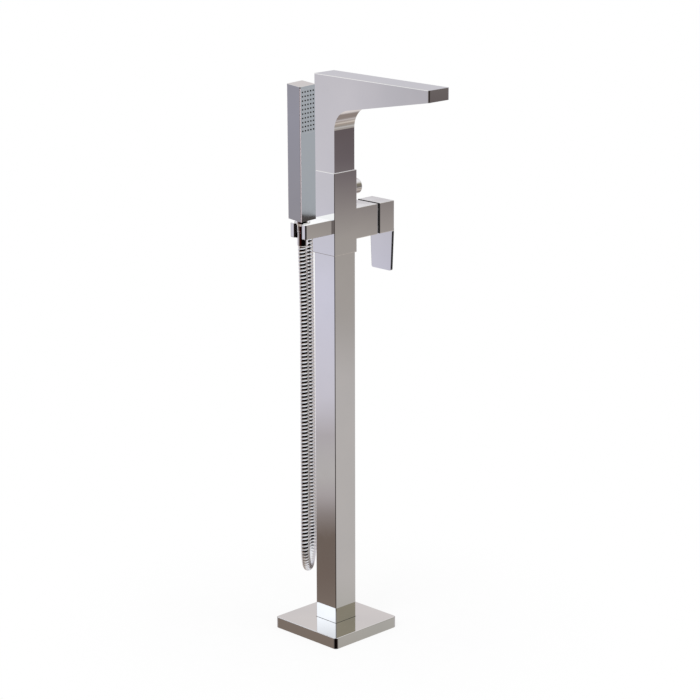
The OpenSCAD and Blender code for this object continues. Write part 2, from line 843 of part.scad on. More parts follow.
module spout_shell() {
    color("gainsboro")
    difference() {
        spout_form();
        spout_slab(spout_wall, body_top - 1);
        drill_z(outlet_x, 0, body_top, total_h - spout_wall - 2, 2 * (outlet_r + fit));
        drill_x(0, body_top + 10, -col_w / 2 - 1, -col_w / 2 + spout_wall + 1, grub_d + slip);
    }
}

module spout_connector() {
    z1 = body_top + connector_h;
    color("goldenrod")
    difference() {
        translate([0, 0, body_top]) bar(connector_w, connector_w, 0.8, connector_h);
        drill_z(0, 0, body_top - 1, body_top + spout_spigot_h + 1.5, 2 * (spout_spigot_r + 0.1));
        drill_z(0, 0, body_top, z1, 2 * spout_pipe_bore);
        drill_z(0, 0, z1 - 8, z1 + 1, 2 * (spout_pipe_r + fit));
        drill_x(0, body_top + 10, -col_w / 2, 0, grub_d + 2 * fit);
    }
}

module spout_o_rings() {
    color("black")
    for (z = spout_ring_heights())
        translate([0, 0, z]) o_ring(spout_spigot_r + 0.1 - o_ring_r - fit);
}

module spout_screw() {
    len = col_w / 2 - spout_spigot_r - 0.8 - slip;
    color("dimgray")
    along_x(-col_w / 2 + 0.8, 0, body_top + 10) translate([0, 0, len]) mirror([0, 0, 1]) grub_screw(grub_d, len);
}

// One ring of points about c, in the plane square to t
function ring_at(c, t, k, r, sides) =
    let (a = unit(cross(t, k)))
    let (b = cross(unit(t), a))
    [for (i = [0:sides - 1]) c + r * (cos(360 * i / sides) * a + sin(360 * i / sides) * b)];

// A closed skin over a chain of rings whose last ring joins the first, as on a tube with a bore
module ring_chain(rings, sides) {
    n = len(rings);
    polyhedron(
        points = [for (r = rings) each r],
        faces = [
            for (i = [0:n - 1])
                for (j = [0:sides - 1])
                    let (a = i * sides)
                    let (b = ((i + 1) % n) * sides)
                    let (j1 = (j + 1) % sides)
                    each [[a + j, b + j, b + j1], [a + j, b + j1, a + j1]]
        ]
    );
}

function spout_pipe_path() = concat(
    [[0, 0, body_top + connector_h - 8]],
    [for (i = [0:10])
        let (a = 180 - 9 * i)
        [spout_pipe_bend + spout_pipe_bend * cos(a), 0, spout_pipe_z - spout_pipe_bend + spout_pipe_bend * sin(a)]],
    [[outlet_x - outlet_r - 2, 0, spout_pipe_z]]
);

module spout_pipe() {
    path = spout_pipe_path();
    n = len(path);
    k = [0, 1, 0];
    sides = 12;
    dirs = [for (i = [0:n - 1])
        i == 0 ? [0, 0, 1] : i == n - 1 ? [1, 0, 0] : unit(path[i + 1] - path[i]) + unit(path[i] - path[i - 1])];
    color("lightgray")
    ring_chain(concat(
        [for (i = [0:n - 1]) ring_at(path[i], dirs[i], k, spout_pipe_r, sides)],
        [for (i = [n - 1:-1:0]) ring_at(path[i], dirs[i], k, spout_pipe_bore, sides)]
    ), sides);
}

module aerator_housing() {
    roof = spout_pipe_z + spout_pipe_r + 1;
    thread_top = insert_z() + insert_h + insert_washer_t + fit;
    color("goldenrod")
    difference() {
        intersection() {
            union() {
                drill_z(outlet_x, 0, body_top, roof, 2 * outlet_r);
                drill_x(0, spout_pipe_z, outlet_x - outlet_r - 2, outlet_x, 2 * spout_pipe_r);
            }
            spout_slab(0, body_top);
        }
        drill_z(outlet_x, 0, body_top, thread_top, 2 * (insert_r + fit));
        drill_z(outlet_x, 0, thread_top - 1, roof - 2, 18);
        drill_x(0, spout_pipe_z, outlet_x - outlet_r - 3, outlet_x, 2 * spout_pipe_bore - 1);
    }
}

function insert_z() = total_h - spout_tip_h - tan(spout_rise) * outlet_setback + insert_rise;

module aerator_insert() {
    color("white")
    translate([outlet_x, 0, insert_z()])
    difference() {
        cylinder(r = insert_r, h = insert_h);
        translate([0, 0, -1]) cylinder(d = 2.6, h = insert_h + 2);
        for (a = [0:60:300])
            rotate([0, 0, a]) translate([3.8, 0, -1]) cylinder(d = 2.6, h = insert_h + 2);
        for (a = [15:30:345])
            rotate([0, 0, a]) translate([7.5, 0, -1]) cylinder(d = 2.6, h = insert_h + 2);
    }
}

module aerator_washer() {
    color("dimgray")
    translate([outlet_x, 0, insert_z() + insert_h]) ring(insert_r, 9, insert_washer_t);
}

// Hose and its ends

// Catmull-Rom curve through four points
function curve(p0, p1, p2, p3, t) =
    0.5 * (2 * p1 + (p2 - p0) * t + (2 * p0 - 5 * p1 + 4 * p2 - p3) * t * t + (3 * p1 - p0 - 3 * p2 + p3) * t * t * t);

function smooth_route() = concat(
    [for (i = [0:len(route) - 2])
        for (j = [0:route_steps - 1])
            curve(route[max(i - 1, 0)], route[i], route[i + 1], route[min(i + 2, len(route) - 1)], j / route_steps)],
    [route[len(route) - 1]]
);

// Distance run along a list of points, one value a point
function run_lengths(p) = [
    for (i = 0, s = 0; i < len(p); s = s + (i + 1 < len(p) ? norm(p[i + 1] - p[i]) : 0), i = i + 1) s
];

module shower_hose() {
    p = smooth_route();
    run = run_lengths(p);
    total = run[len(run) - 1];
    tables = [for (axis = [0:2]) [for (i = [0:len(p) - 1]) [run[i], p[i][axis]]]];
    function at(s) = [lookup(s, tables[0]), lookup(s, tables[1]), lookup(s, tables[2])];
    function ring_on(s, r) = ring_at(at(s), at(min(s + 2, total)) - at(max(s - 2, 0)), loop_normal, r, hose_sides);
    crest = hose_d / 2;
    root = hose_d / 2 - rib_depth;
    pitch = total / rib_count;
    color("silver")
    ring_chain(concat(
        [for (i = [0:rib_count - 1]) each [ring_on(i * pitch, root), ring_on((i + 0.5) * pitch, crest)]],
        [ring_on(total, root)],
        [for (i = [bore_rings:-1:0]) ring_on(total * i / bore_rings, hose_bore / 2)]
    ), hose_sides);
    echo(hose_length = total, rib_pitch = pitch);
}

module hose_cone_nut() {
    color("gainsboro")
    in_holder()
    difference() {
        rotate_extrude()
        polygon([
            [0, nut_foot], [nut_small_r - 1, nut_foot], [nut_small_r, nut_foot + 1.5],
            [nut_small_r, nut_foot + 26], [nut_small_r + 0.5, nut_foot + 26.5], [nut_small_r + 0.5, nut_foot + 28.5],
            [nut_small_r, nut_foot + 29], [nut_mid_r, seat_h - 3], [nut_big_r, seat_h + 2],
            [nut_big_r, nut_top - 0.6], [nut_big_r - 0.6, nut_top], [0, nut_top]
        ]);
        translate([0, 0, neck_foot]) cylinder(r = thread_r + fit, h = nut_top);
        translate([0, 0, neck_foot - washer_t - tail_flange_h]) cylinder(r = tail_flange_r + 0.1, h = nut_top);
        translate([0, 0, nut_foot - 1]) cylinder(r = nut_bore_r, h = nut_top - nut_foot);
    }
}

// The hose's end fitting: a flange that the nut draws up, on a sleeve that grips the hose
module upper_tail() {
    z1 = neck_foot - washer_t;
    color("goldenrod")
    in_holder()
    difference() {
        union() {
            translate([0, 0, nut_foot + fit]) cylinder(r = tail_r, h = z1 - nut_foot - fit);
            translate([0, 0, z1 - tail_flange_h + fit]) cylinder(r = tail_flange_r, h = tail_flange_h - fit);
        }
        translate([0, 0, nut_foot - 1]) cylinder(d = hose_bore, h = z1 - nut_foot + 2);
    }
}

module upper_washer() {
    color("black")
    in_holder() translate([0, 0, neck_foot - washer_t]) ring(tail_flange_r, 5, washer_t);
}

module hose_hex_nut() {
    color("gainsboro")
    translate([-outlet_reach, 0, hex_foot])
    difference() {
        cylinder(r = hex_af / sqrt(3), h = 18.5, $fn = 6);
        translate([0, 0, lower_nut_floor]) cylinder(r = thread_r + fit, h = 20);
        translate([0, 0, -1]) cylinder(r = nut_bore_r, h = 20);
    }
}

module lower_tail() {
    color("goldenrod")
    translate([-outlet_reach, 0, hex_foot])
    difference() {
        union() {
            cylinder(r = tail_r, h = lower_nut_floor + lower_flange_h);
            translate([0, 0, lower_nut_floor + fit]) cylinder(r = thread_r - 0.2, h = lower_flange_h - fit);
        }
        translate([0, 0, -1]) cylinder(d = hose_bore, h = 20);
    }
}

module lower_washer() {
    color("black")
    translate([-outlet_reach, 0, hex_foot + lower_nut_floor + lower_flange_h]) ring(thread_r - 0.2, 5, washer_t);
}

// Hand shower

module nozzle_places() {
    for (i = [0:nozzle_cols - 1])
        for (j = [0:nozzle_rows - 1])
            translate([0, (i - (nozzle_cols - 1) / 2) * nozzle_col_pitch, nozzle_first - j * nozzle_row_pitch])
                rotate([0, 90, 0]) children();
}

// The plate's window in the case, or the plate, from x0 outward by a thickness t, let out by a clearance
module plate_block(x0, t, clear) {
    h0 = nozzle_last - plate_margin - clear;
    h1 = nozzle_first + plate_margin + clear;
    translate([x0, -plate_w / 2 - clear, h0]) cube([t, plate_w + 2 * clear, h1 - h0]);
}

module handset_body() {
    inner = handset_w - 2 * handset_wall;
    len = handset_len - handset_cap_t;
    color("gainsboro")
    in_handset()
    difference() {
        translate([0, 0, handset_foot + len / 2])
            intersection() {
                soft_box(handset_w, handset_w, len + 2 * handset_edge_r, handset_edge_r);
                translate([0, 0, handset_edge_r]) cube([2 * handset_w, 2 * handset_w, len + 2 * handset_edge_r], center = true);
                translate([0, 0, -handset_edge_r]) cube([2 * handset_w, 2 * handset_w, len + 2 * handset_edge_r], center = true);
            }
        translate([-inner / 2, -inner / 2, handset_foot + handset_floor]) cube([inner, inner, handset_len]);
        translate([0, 0, handset_foot - 1]) cylinder(r = thread_r + fit, h = handset_floor + 2);
        plate_block(inner / 2 - 1, handset_wall + 2, 0.15);
    }
}

module handset_cap() {
    inner = handset_w - 2 * handset_wall - 2 * slip;
    color("gainsboro")
    in_handset() {
        translate([0, 0, handset_top - handset_cap_t])
            intersection() {
                bar(handset_w, handset_w, handset_edge_r, handset_cap_t);
                translate([0, 0, -handset_w / 2 + handset_cap_t])
                    soft_box(handset_w, handset_w, handset_w, handset_edge_r / 2);
            }
        translate([-inner / 2, -inner / 2, handset_top - handset_cap_t - 1.8]) cube([inner, inner, 2]);
    }
}

module handset_neck() {
    color("goldenrod")
    in_handset()
    difference() {
        union() {
            translate([0, 0, neck_foot]) cylinder(r = thread_r, h = handset_foot + handset_floor - neck_foot + eps);
            translate([0, 0, handset_foot + handset_floor]) cylinder(r = 13, h = 3);
            translate([0, 0, handset_foot + handset_floor]) cylinder(r = 9, h = neck_top - handset_foot - handset_floor);
        }
        translate([0, 0, neck_foot - 1]) cylinder(r = 5, h = neck_top);
        translate([0, 0, neck_foot - 1]) cylinder(r = 7, h = 7);
        translate([0, 0, neck_top - neck_socket]) cylinder(r = 7 + fit, h = neck_socket + 1);
    }
}

module flow_restrictor() {
    color("green")
    in_handset() translate([0, 0, neck_foot + 2]) ring(7 - fit, 1.5, 4);
}

// A closed channel from the neck, and the spray chamber that opens onto the nozzle mat
module handset_waterway() {
    half = handset_w / 2 - handset_wall - 0.6;
    h0 = nozzle_last - plate_margin;
    h1 = nozzle_first + plate_margin - 1;
    x1 = handset_w / 2 - handset_wall - mat_t - 0.1;
    color("whitesmoke")
    in_handset()
    difference() {
        union() {
            translate([0, 0, neck_top - neck_socket + 0.2]) cylinder(r = 7, h = h0 - neck_top + neck_socket + 1);
            translate([-8, -half, h0]) cube([x1 + 8, 2 * half, h1 - h0]);
        }
        translate([-6, -half + 2, h0 + 2]) cube([x1 + 8, 2 * half - 4, h1 - h0 - 4]);
        translate([0, 0, neck_top - neck_socket]) cylinder(r = 5, h = h0 - neck_top + neck_socket + 4);
    }
}

module nozzle_mat() {
    x0 = handset_w / 2 - handset_wall - mat_t;
    color("dimgray")
    in_handset()
    difference() {
        union() {
            plate_block(x0, mat_t - fit, -0.3);
            nozzle_places() translate([0, 0, x0 + 1]) cylinder(d = nozzle_d, h = handset_w / 2 - x0 - 1 + nozzle_proud, $fn = 16);
        }
        nozzle_places() translate([0, 0, x0 - 1]) cylinder(d = 1, h = handset_w, $fn = 13);
    }
}

module spray_plate() {
    color("gainsboro")
    in_handset()
    difference() {
        plate_block(handset_w / 2 - plate_t, plate_t, 0);
        nozzle_places() translate([0, 0, handset_w / 2 - plate_t - 1]) cylinder(d = nozzle_d + 0.3, h = plate_t + 2, $fn = 24);
    }
}

base_cover();
cover_seal();
floor_flange();
column_screws();
column_tube();
hot_pipe();
cold_pipe();
hot_union_nut();
cold_union_nut();
union_washers();
body_casting();
pipe_o_rings();
body_screw();
holder_arm();
arm_stud();
holder_ring();
hose_outlet();
outlet_o_ring();
check_valve();
cartridge_housing();
port_seals();
fixed_disc();
sliding_disc();
cartridge_rotor();
stem_pin();
cartridge_stem();
cartridge_nut();
lever_handle();
lever_screw();
lever_plug();
diverter_bush();
diverter_spindle();
diverter_piston();
piston_seal();
diverter_knob();
spout_shell();
spout_connector();
spout_o_rings();
spout_screw();
spout_pipe();
aerator_housing();
aerator_insert();
aerator_washer();
shower_hose();
hose_cone_nut();
upper_tail();
upper_washer();
hose_hex_nut();
lower_tail();
lower_washer();
handset_body();
handset_cap();
handset_neck();
flow_restrictor();
handset_waterway();
nozzle_mat();
spray_plate();
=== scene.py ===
# %% [markdown]
# # A floor standing bath filler in polished chrome
#
# The object is a square column on a square foot, with a mixer body, a lever, a pull
# knob, a long square spout, and a hand shower that hangs in a fork on a metal hose.
# Every hard piece was drawn in CAD, and most keep their CAD surface here. Blender's work
# is the looks: the chrome and what it mirrors, the hose wound from metal strip, and the
# turned, folded and sawn pieces whose surfaces are short formulas.
#
# The frame comes first. Loading it gives one object per CAD piece, in metres, with the
# Z axis up, the spout along +X and the lever along +Y.

# %% The frame
import json
import math

import bpy
import numpy as np
from mathutils import Matrix


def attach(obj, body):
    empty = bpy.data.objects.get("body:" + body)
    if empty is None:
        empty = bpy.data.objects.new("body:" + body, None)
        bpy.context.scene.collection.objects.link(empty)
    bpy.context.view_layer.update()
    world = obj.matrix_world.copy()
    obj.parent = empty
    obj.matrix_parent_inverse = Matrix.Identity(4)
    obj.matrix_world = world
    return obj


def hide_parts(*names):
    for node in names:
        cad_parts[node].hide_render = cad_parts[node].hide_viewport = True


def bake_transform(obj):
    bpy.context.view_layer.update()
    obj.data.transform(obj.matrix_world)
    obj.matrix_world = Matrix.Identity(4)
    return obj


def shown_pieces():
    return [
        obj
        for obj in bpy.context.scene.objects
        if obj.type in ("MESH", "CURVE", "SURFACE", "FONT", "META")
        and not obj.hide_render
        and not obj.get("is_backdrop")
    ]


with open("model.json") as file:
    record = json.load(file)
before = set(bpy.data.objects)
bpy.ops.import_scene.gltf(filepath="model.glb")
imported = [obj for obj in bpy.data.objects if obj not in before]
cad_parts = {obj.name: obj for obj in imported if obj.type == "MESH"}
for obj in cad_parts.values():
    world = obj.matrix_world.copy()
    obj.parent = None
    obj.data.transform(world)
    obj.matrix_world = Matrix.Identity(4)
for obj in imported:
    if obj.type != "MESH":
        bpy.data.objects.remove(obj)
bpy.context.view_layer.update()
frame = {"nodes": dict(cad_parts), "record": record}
nodes = frame["nodes"]
MM = 0.001
print("pieces in the frame:", len(nodes))

# %% [markdown]
# ## The camera
#
# The photograph looks at the filler from the corner between the spout and the hand
# shower, from a little above. Its upright edges are almost parallel, so the lens is a
# long one, far away. The yaw, pitch and roll below turn the view direction into three
# axes at right angles, and those axes are the columns of the camera's rotation.

# %% The camera
EYE = np.array([3.0198, -2.9831, 1.6946])
YAW, PITCH, ROLL = np.radians([-44.987, -15.269, -0.115])
LENS_LONG, FILM_WIDE = 125.0, 36.0
NEAREST, FURTHEST = 0.1, 60.0


def camera_axes(yaw, pitch, roll):
    """Right, up and view direction. The view direction is a heading in the floor's plane,
    lowered by the pitch. Right is that direction crossed with straight up, and the roll
    then turns right and up about the view direction."""
    level = math.cos(pitch)
    ahead = np.array([math.sin(yaw) * level, math.cos(yaw) * level, math.sin(pitch)])
    right = np.cross(ahead, [0, 0, 1])
    right /= np.linalg.norm(right)
    up = np.cross(right, ahead)
    turned = right * math.cos(roll) + up * math.sin(roll)
    return turned, up * math.cos(roll) - right * math.sin(roll), ahead


def pose_matrix(right, up, back, spot):
    """A pose whose four columns are the three axes and the place."""
    pose = np.eye(4)
    pose[:3] = np.stack([right, up, back, spot], 1)
    return Matrix(pose.tolist())


right, up, ahead = camera_axes(YAW, PITCH, ROLL)
lens = bpy.data.cameras.new("photo_camera")
lens.lens, lens.sensor_width = LENS_LONG, FILM_WIDE
lens.clip_start, lens.clip_end = NEAREST, FURTHEST
camera = bpy.data.objects.new("photo_camera", lens)
camera.matrix_world = pose_matrix(right, up, -ahead, EYE)
bpy.context.scene.collection.objects.link(camera)
bpy.context.scene.camera = camera
bpy.context.scene.view_settings.view_transform = "Standard"
print("camera looks along", ahead.round(3))

# %% [markdown]
# ## Helpers for surfaces
#
# Almost every new piece is a grid of points: rows along a path or a profile, and
# columns round it. Once the points are known, the faces are always the same, four
# neighbours each. The outward direction is worked out with the points and handed to
# the mesh as well, because a mirror shows the smallest fault in a normal: a flat stays
# a flat and a rounding stays round, with few faces.

# %% Grids of points into meshes
def grid_faces(rows, columns, loop=False):
    """Four-cornered faces between neighbouring rows and columns. The last column joins
    the first, and with loop the last row joins the first too."""
    r = np.arange(rows if loop else rows - 1)[:, None]
    c = np.arange(columns)[None, :]
    r2, c2 = (r + 1) % rows, (c + 1) % columns
    corners = [r * columns + c, r * columns + c2, r2 * columns + c2, r2 * columns + c]
    return np.stack(corners, -1).reshape(-1, 4)


def capped_faces(rows, columns):
    """The same faces, with one flat face over the first row and one over the last."""
    first = list(range(columns))[::-1]
    last = [(rows - 1) * columns + c for c in range(columns)]
    return [*grid_faces(rows, columns), first, last]


def make_piece(name, points, faces, outward, finish, body, stands_for):
    """A mesh piece on its body, in place of the CAD piece that it stands for. Without
    outward directions Blender works out smooth ones."""
    mesh = bpy.data.meshes.new(name)
    mesh.from_pydata(np.asarray(points).tolist(), [], [list(f) for f in faces])
    mesh.shade_smooth()
    mesh.update()
    if outward is not None:
        unit = outward / np.linalg.norm(outward, axis=1, keepdims=True)
        mesh.normals_split_custom_set_from_vertices(unit.tolist())
    mesh.materials.append(finish)
    piece = bpy.data.objects.new(name, mesh)
    bpy.context.scene.collection.objects.link(piece)
    if body:
        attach(piece, body)
    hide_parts(stands_for)
    print(f"{name}: {len(mesh.vertices)} points, {len(mesh.polygons)} faces")
    return piece


# %% [markdown]
# ## Profiles with soft corners
#
# No machined or cast corner is perfectly sharp. A profile is written as its sharp
# corners and a radius for each, and the helper swaps every corner for an arc. It also
# gives the outward direction at each point, which is the right-hand side of travel.

# %% Soft corners
def soft_profile(corners, radii, closed, steps=5):
    """Points and right-hand normals of a path whose corners are arcs. At a corner the path
    turns by an angle; the arc starts radius times the tangent of half that angle before
    the corner, and its centre lies on the side towards which the path turns."""
    p = np.asarray(corners, float)
    before, middle, after = np.roll(p, 1, 0), p, np.roll(p, -1, 0)
    if not closed:
        before, middle, after = p[:-2], p[1:-1], p[2:]
    radii = np.asarray(radii, float)
    way_in = (middle - before) / np.linalg.norm(middle - before, axis=1, keepdims=True)
    way_out = (after - middle) / np.linalg.norm(after - middle, axis=1, keepdims=True)
    heading = np.arctan2(way_in[:, 1], way_in[:, 0])
    across = way_in[:, 0] * way_out[:, 1] - way_in[:, 1] * way_out[:, 0]
    turn = np.arctan2(across, (way_in * way_out).sum(1))
    side = np.sign(turn)
    start = middle - way_in * (radii * np.tan(np.abs(turn) / 2))[:, None]
    right_in = np.stack([way_in[:, 1], -way_in[:, 0]], 1)
    centre = start - (side * radii)[:, None] * right_in
    angle = heading[:, None] + turn[:, None] * np.linspace(0, 1, steps + 1)[None, :]
    normal = np.stack([np.sin(angle), -np.cos(angle)], -1)
    point = centre[:, None, :] + (side * radii)[:, None, None] * normal
    point, normal = point.reshape(-1, 2), normal.reshape(-1, 2)
    if not closed:
        right_out = [way_out[-1, 1], -way_out[-1, 0]]
        point = np.vstack([p[:1], point, p[-1:]])
        normal = np.vstack([right_in[:1], normal, right_out])
    return point, normal


# %% Turned surfaces
def turned_surface(point, normal, sides):
    """A profile of radius and height, turned round the Z axis: a point's place is its
    radius times the cosine and the sine of the angle, and its height. Its normal turns
    the same way."""
    a = np.linspace(0, 2 * math.pi, sides, endpoint=False)
    spin = np.stack([np.cos(a), np.sin(a)], -1)

    def turned(pair):
        level = pair[:, None, :1] * spin[None]
        upright = np.broadcast_to(pair[:, None, 1:], (len(pair), sides, 1))
        return np.concatenate([level, upright], -1).reshape(-1, 3)

    return turned(point), turned(normal)


# %% [markdown]
# ## Finishes
#
# Chrome is a mirror of the room, so its own colour is only a cool light grey. What
# makes it look like plated brass and not like a computer's mirror is small: the polish
# is a little softer in places, and the plate waves by a few thousandths of a
# millimetre, which bends straight reflections very slightly. The patterns read the
# object's own coordinates, so they stay on the metal from any side.

# %% Colours and node helpers
def paint(r, g, b):
    """A colour as a screen shows it, 0 to 255, turned into linear light."""
    v = np.array([r, g, b]) / 255
    return tuple(np.where(v <= 0.04045, v / 12.92, ((v + 0.055) / 1.055) ** 2.4)) + (1.0,)


def add_node(tree, kind, inputs=(), **settings):
    """A node with its settings, and its inputs set or linked."""
    made = tree.nodes.new(kind)
    for key, value in settings.items():
        setattr(made, key, value)
    for key, value in dict(inputs).items():
        if isinstance(value, bpy.types.NodeSocket):
            tree.links.new(value, made.inputs[key])
        else:
            made.inputs[key].default_value = value
    return made


class Recipe:
    """A material under construction: its nodes, its links and its shader."""

    def __init__(self, name, metallic=0.0, roughness=0.4):
        self.material = bpy.data.materials.new(name)
        self.material.use_nodes = True
        self.tree = self.material.node_tree
        self.shader = self.tree.nodes["Principled BSDF"]
        self.shader.inputs["Metallic"].default_value = metallic
        self.shader.inputs["Roughness"].default_value = roughness
        self.coords = self.node("ShaderNodeTexCoord")

    def node(self, kind, inputs=(), **settings):
        """A node of this material."""
        return add_node(self.tree, kind, inputs, **settings)

    def noise(self, per_metre, stretch=(1, 1, 1), detail=3.0):
        """Soft random patches on the object's own coordinates, per_metre in a metre."""
        place = self.node("ShaderNodeMapping", {0: self.coords.outputs["Object"], "Scale": stretch})
        patches = {"Vector": place.outputs[0], "Scale": per_metre, "Detail": detail}
        return self.node("ShaderNodeTexNoise", patches).outputs["Fac"]

    def ramped(self, value, low, high, first=0.0, last=1.0):
        """First to last as the value goes from low to high, and level beyond."""
        span = {"Value": value, "From Min": low, "From Max": high, "To Min": first, "To Max": last}
        return self.node("ShaderNodeMapRange", span).outputs[0]

    def two_colours(self, value, first, second):
        """One colour shading into another with the value."""
        ramp = self.node("ShaderNodeValToRGB", {"Fac": value})
        low, high = ramp.color_ramp.elements
        low.position, low.color = 0.35, first
        high.position, high.color = 0.65, second
        self.tree.links.new(ramp.outputs["Color"], self.shader.inputs["Base Color"])

    def rough(self, noise, low, high):
        """Roughness that follows a noise, most of which lies between 0.3 and 0.7."""
        self.tree.links.new(self.ramped(noise, 0.3, 0.7, low, high), self.shader.inputs["Roughness"])

    def relief(self, value, height):
        """Fine relief of the given height in metres."""
        bump = self.node("ShaderNodeBump", {"Height": value, "Distance": height, "Strength": 1.0})
        self.tree.links.new(bump.outputs["Normal"], self.shader.inputs["Normal"])


# %% [markdown]
# ## Masks
#
# A finish often changes at a place: an edge, a hollow, the inside of a cap. A mask is a
# number from 0 to 1 over the whole surface, worked out from where a point is and which
# way it faces. Masks multiply, and a second colour or shader is laid on by one.

# %% Masks
class MaskedRecipe(Recipe):
    """A recipe that can also change its finish by masks."""

    def spot(self):
        """X, Y and Z of a point in the object's own coordinates, in metres."""
        return self.node("ShaderNodeSeparateXYZ", {0: self.coords.outputs["Object"]}).outputs

    def maths(self, way, first, second=0.0):
        """One sum, product or comparison."""
        return self.node("ShaderNodeMath", {0: first, 1: second}, operation=way).outputs[0]

    def all_of(self, first, second):
        """1 where both masks are 1."""
        return self.maths("MULTIPLY", first, second)

    def upright_edges(self):
        """1 on the upright edges of a square piece: where the outward direction leans well
        away from both X and Y."""
        x, y, _ = self.node("ShaderNodeSeparateXYZ", {0: self.coords.outputs["Normal"]}).outputs
        least = self.maths("MINIMUM", self.maths("ABSOLUTE", x), self.maths("ABSOLUTE", y))
        return self.ramped(least, 0.2, 0.38)

    def tint(self, mask, colour):
        """Blends the shader's colour towards another one by the mask."""
        socket = self.shader.inputs["Base Color"]
        parts = {0: mask, 6: socket.links[0].from_socket, 7: colour}
        mixed = self.node("ShaderNodeMix", parts, data_type="RGBA")
        self.tree.links.new(mixed.outputs[2], socket)

    def over(self, mask, colour, roughness):
        """A plain finish laid over this one where the mask is 1."""
        other = self.node("ShaderNodeBsdfPrincipled", {"Base Color": colour, "Roughness": roughness})
        parts = {0: mask, 1: self.shader.outputs[0], 2: other.outputs[0]}
        both = self.node("ShaderNodeMixShader", parts)
        self.tree.links.new(both.outputs[0], self.tree.nodes["Material Output"].inputs["Surface"])


# %% [markdown]
# ## Chrome
#
# The square pieces get narrow dark lines along their rounded upright edges: a painted reflection of the
# dark floor behind the camera, laid into the chrome's colour. Round pieces get a painted dark reflection
# where they face the eye, standing for the camera's own corner.
# Both are masks on one and the same chrome.

# %% Chrome
# Painted reflection of the dark floor on the upright edges of the square pieces.
PAINTED_EDGE_REFLECTION = (0.045, 0.032, 0.032, 1)
# Painted reflection of the camera's dark corner on the round pieces.
PAINTED_CORNER_REFLECTION = (0.01, 0.009, 0.01, 1)


def chrome_base(name, wave=0.000010, polish=(0.012, 0.045)):
    """Plated and polished brass: a cool mirror, softer in cloudy patches, with a slow wave
    in it."""
    r = MaskedRecipe(name, metallic=1.0)
    r.two_colours(r.noise(9), (0.835, 0.845, 0.865, 1), (0.875, 0.88, 0.895, 1))
    r.rough(r.noise(35), *polish)
    r.relief(r.noise(14, detail=1.0), wave)
    return r


def edged_chrome(name, edge=PAINTED_EDGE_REFLECTION):
    """Chrome of the square pieces, with a painted dark reflection on their upright edges."""
    r = chrome_base(name)
    r.tint(r.upright_edges(), edge)
    return r


def facing_eye(r, core, edge, further=0.0):
    """1 where the surface faces the eye. The layer weight is 0 there and 1 at the outline;
    up to core the mask is 1, and past edge it is 0."""
    weight = r.node("ShaderNodeLayerWeight", {"Blend": 0.5}).outputs["Facing"]
    return r.ramped(r.maths("ADD", weight, further), core, edge, 1.0, 0.0)


def with_painted_reflection(r, dark, warm):
    """The material with a painted dark reflection where the mask is 1: near black, and warm to the left,
    where the outward direction has a share along the level diagonal -X -Y."""
    to_left = {0: r.coords.outputs["Normal"], 1: (-0.707, -0.707, 0)}
    leftward = r.node("ShaderNodeVectorMath", to_left, operation="DOT_PRODUCT").outputs["Value"]
    parts = {0: r.ramped(leftward, 0.1, 0.55), 6: PAINTED_CORNER_REFLECTION, 7: warm}
    shade = r.node("ShaderNodeMix", parts, data_type="RGBA")
    r.tint(dark, shade.outputs[2])
    return r.material


def turned_chrome():
    """Chrome of the cone nut, with a painted dark reflection where it faces the eye."""
    r = chrome_base("round_chrome")
    return with_painted_reflection(r, facing_eye(r, 0.16, 0.32), (0.2, 0.02, 0.012, 1))


chrome = edged_chrome("chrome_plate").material
round_chrome = turned_chrome()
print("chrome:", len(chrome.node_tree.nodes), "nodes")

# %% [markdown]
# ## Metals and plastics that are mostly hidden
#
# Under the foot and inside the body are pieces that only a fitter sees. They still get
# their own finish: drawn steel has fine lines along its length, turned brass has faint
# rings and warmer patches, moulded plastic a fine orange peel, and rubber a dull bloom.

# %% Metals
def drawn_steel():
    """Stainless steel with fine lines along Z."""
    r = Recipe("drawn_steel", metallic=1.0)
    lines = r.noise(900, stretch=(1, 1, 0.02), detail=2.0)
    r.two_colours(r.noise(20), (0.50, 0.50, 0.51, 1), (0.60, 0.60, 0.60, 1))
    r.rough(lines, 0.22, 0.40)
    r.relief(lines, 0.000006)
    return r.material


def turned_brass():
    """Machined brass: rings from the tool, and patches that have dulled."""
    r = Recipe("turned_brass", metallic=1.0)
    r.two_colours(r.noise(60), (0.56, 0.38, 0.14, 1), (0.72, 0.53, 0.24, 1))
    r.rough(r.noise(150), 0.20, 0.38)
    r.relief(r.noise(1200, stretch=(0.1, 0.1, 1)), 0.000008)
    return r.material


# %% Rubber and plastics
def black_rubber():
    """Rubber of seals and washers, dull with a grey bloom."""
    r = Recipe("black_rubber")
    r.two_colours(r.noise(120), (0.016, 0.016, 0.017, 1), (0.035, 0.035, 0.036, 1))
    r.rough(r.noise(300), 0.55, 0.75)
    r.relief(r.noise(1500), 0.00002)
    return r.material


def moulded_plastic(name, first, second, rough=(0.28, 0.42)):
    """Moulded plastic in two close tones, with a fine orange peel."""
    r = Recipe(name)
    r.two_colours(r.noise(80), paint(*first), paint(*second))
    r.rough(r.noise(200), *rough)
    r.relief(r.noise(900, detail=1.5), 0.00001)
    return r.material


steel = drawn_steel()
MOULDED = {
    "white_plastic": ((232, 232, 228), (240, 240, 237)),
    "nozzle_rubber": ((12, 13, 14), (22, 23, 25), (0.45, 0.6)),
    "restrictor_plastic": ((70, 150, 90), (88, 168, 105)),
    "disc_ceramic": ((236, 234, 226), (244, 243, 238), (0.06, 0.16)),
}
FINISHES = {"chrome": chrome, "steel": steel, "brass": turned_brass(), "rubber": black_rubber()}
for name, tones in MOULDED.items():
    FINISHES[name] = moulded_plastic(name, *tones)
print("finishes:", ", ".join(FINISHES))

# %% [markdown]
# ## The hose: its line
#
# The hose is a fixed length of wound metal strip. It leaves the outlet on the body's
# back straight down, hangs to a loop near the floor, and comes up to the cone nut under
# the hand shower. The points below start at the hand shower, in millimetres. They keep
# to the CAD route within a few millimetres. A smooth curve runs through all of them:
# each span is a cubic that leaves and arrives in line with its neighbours.

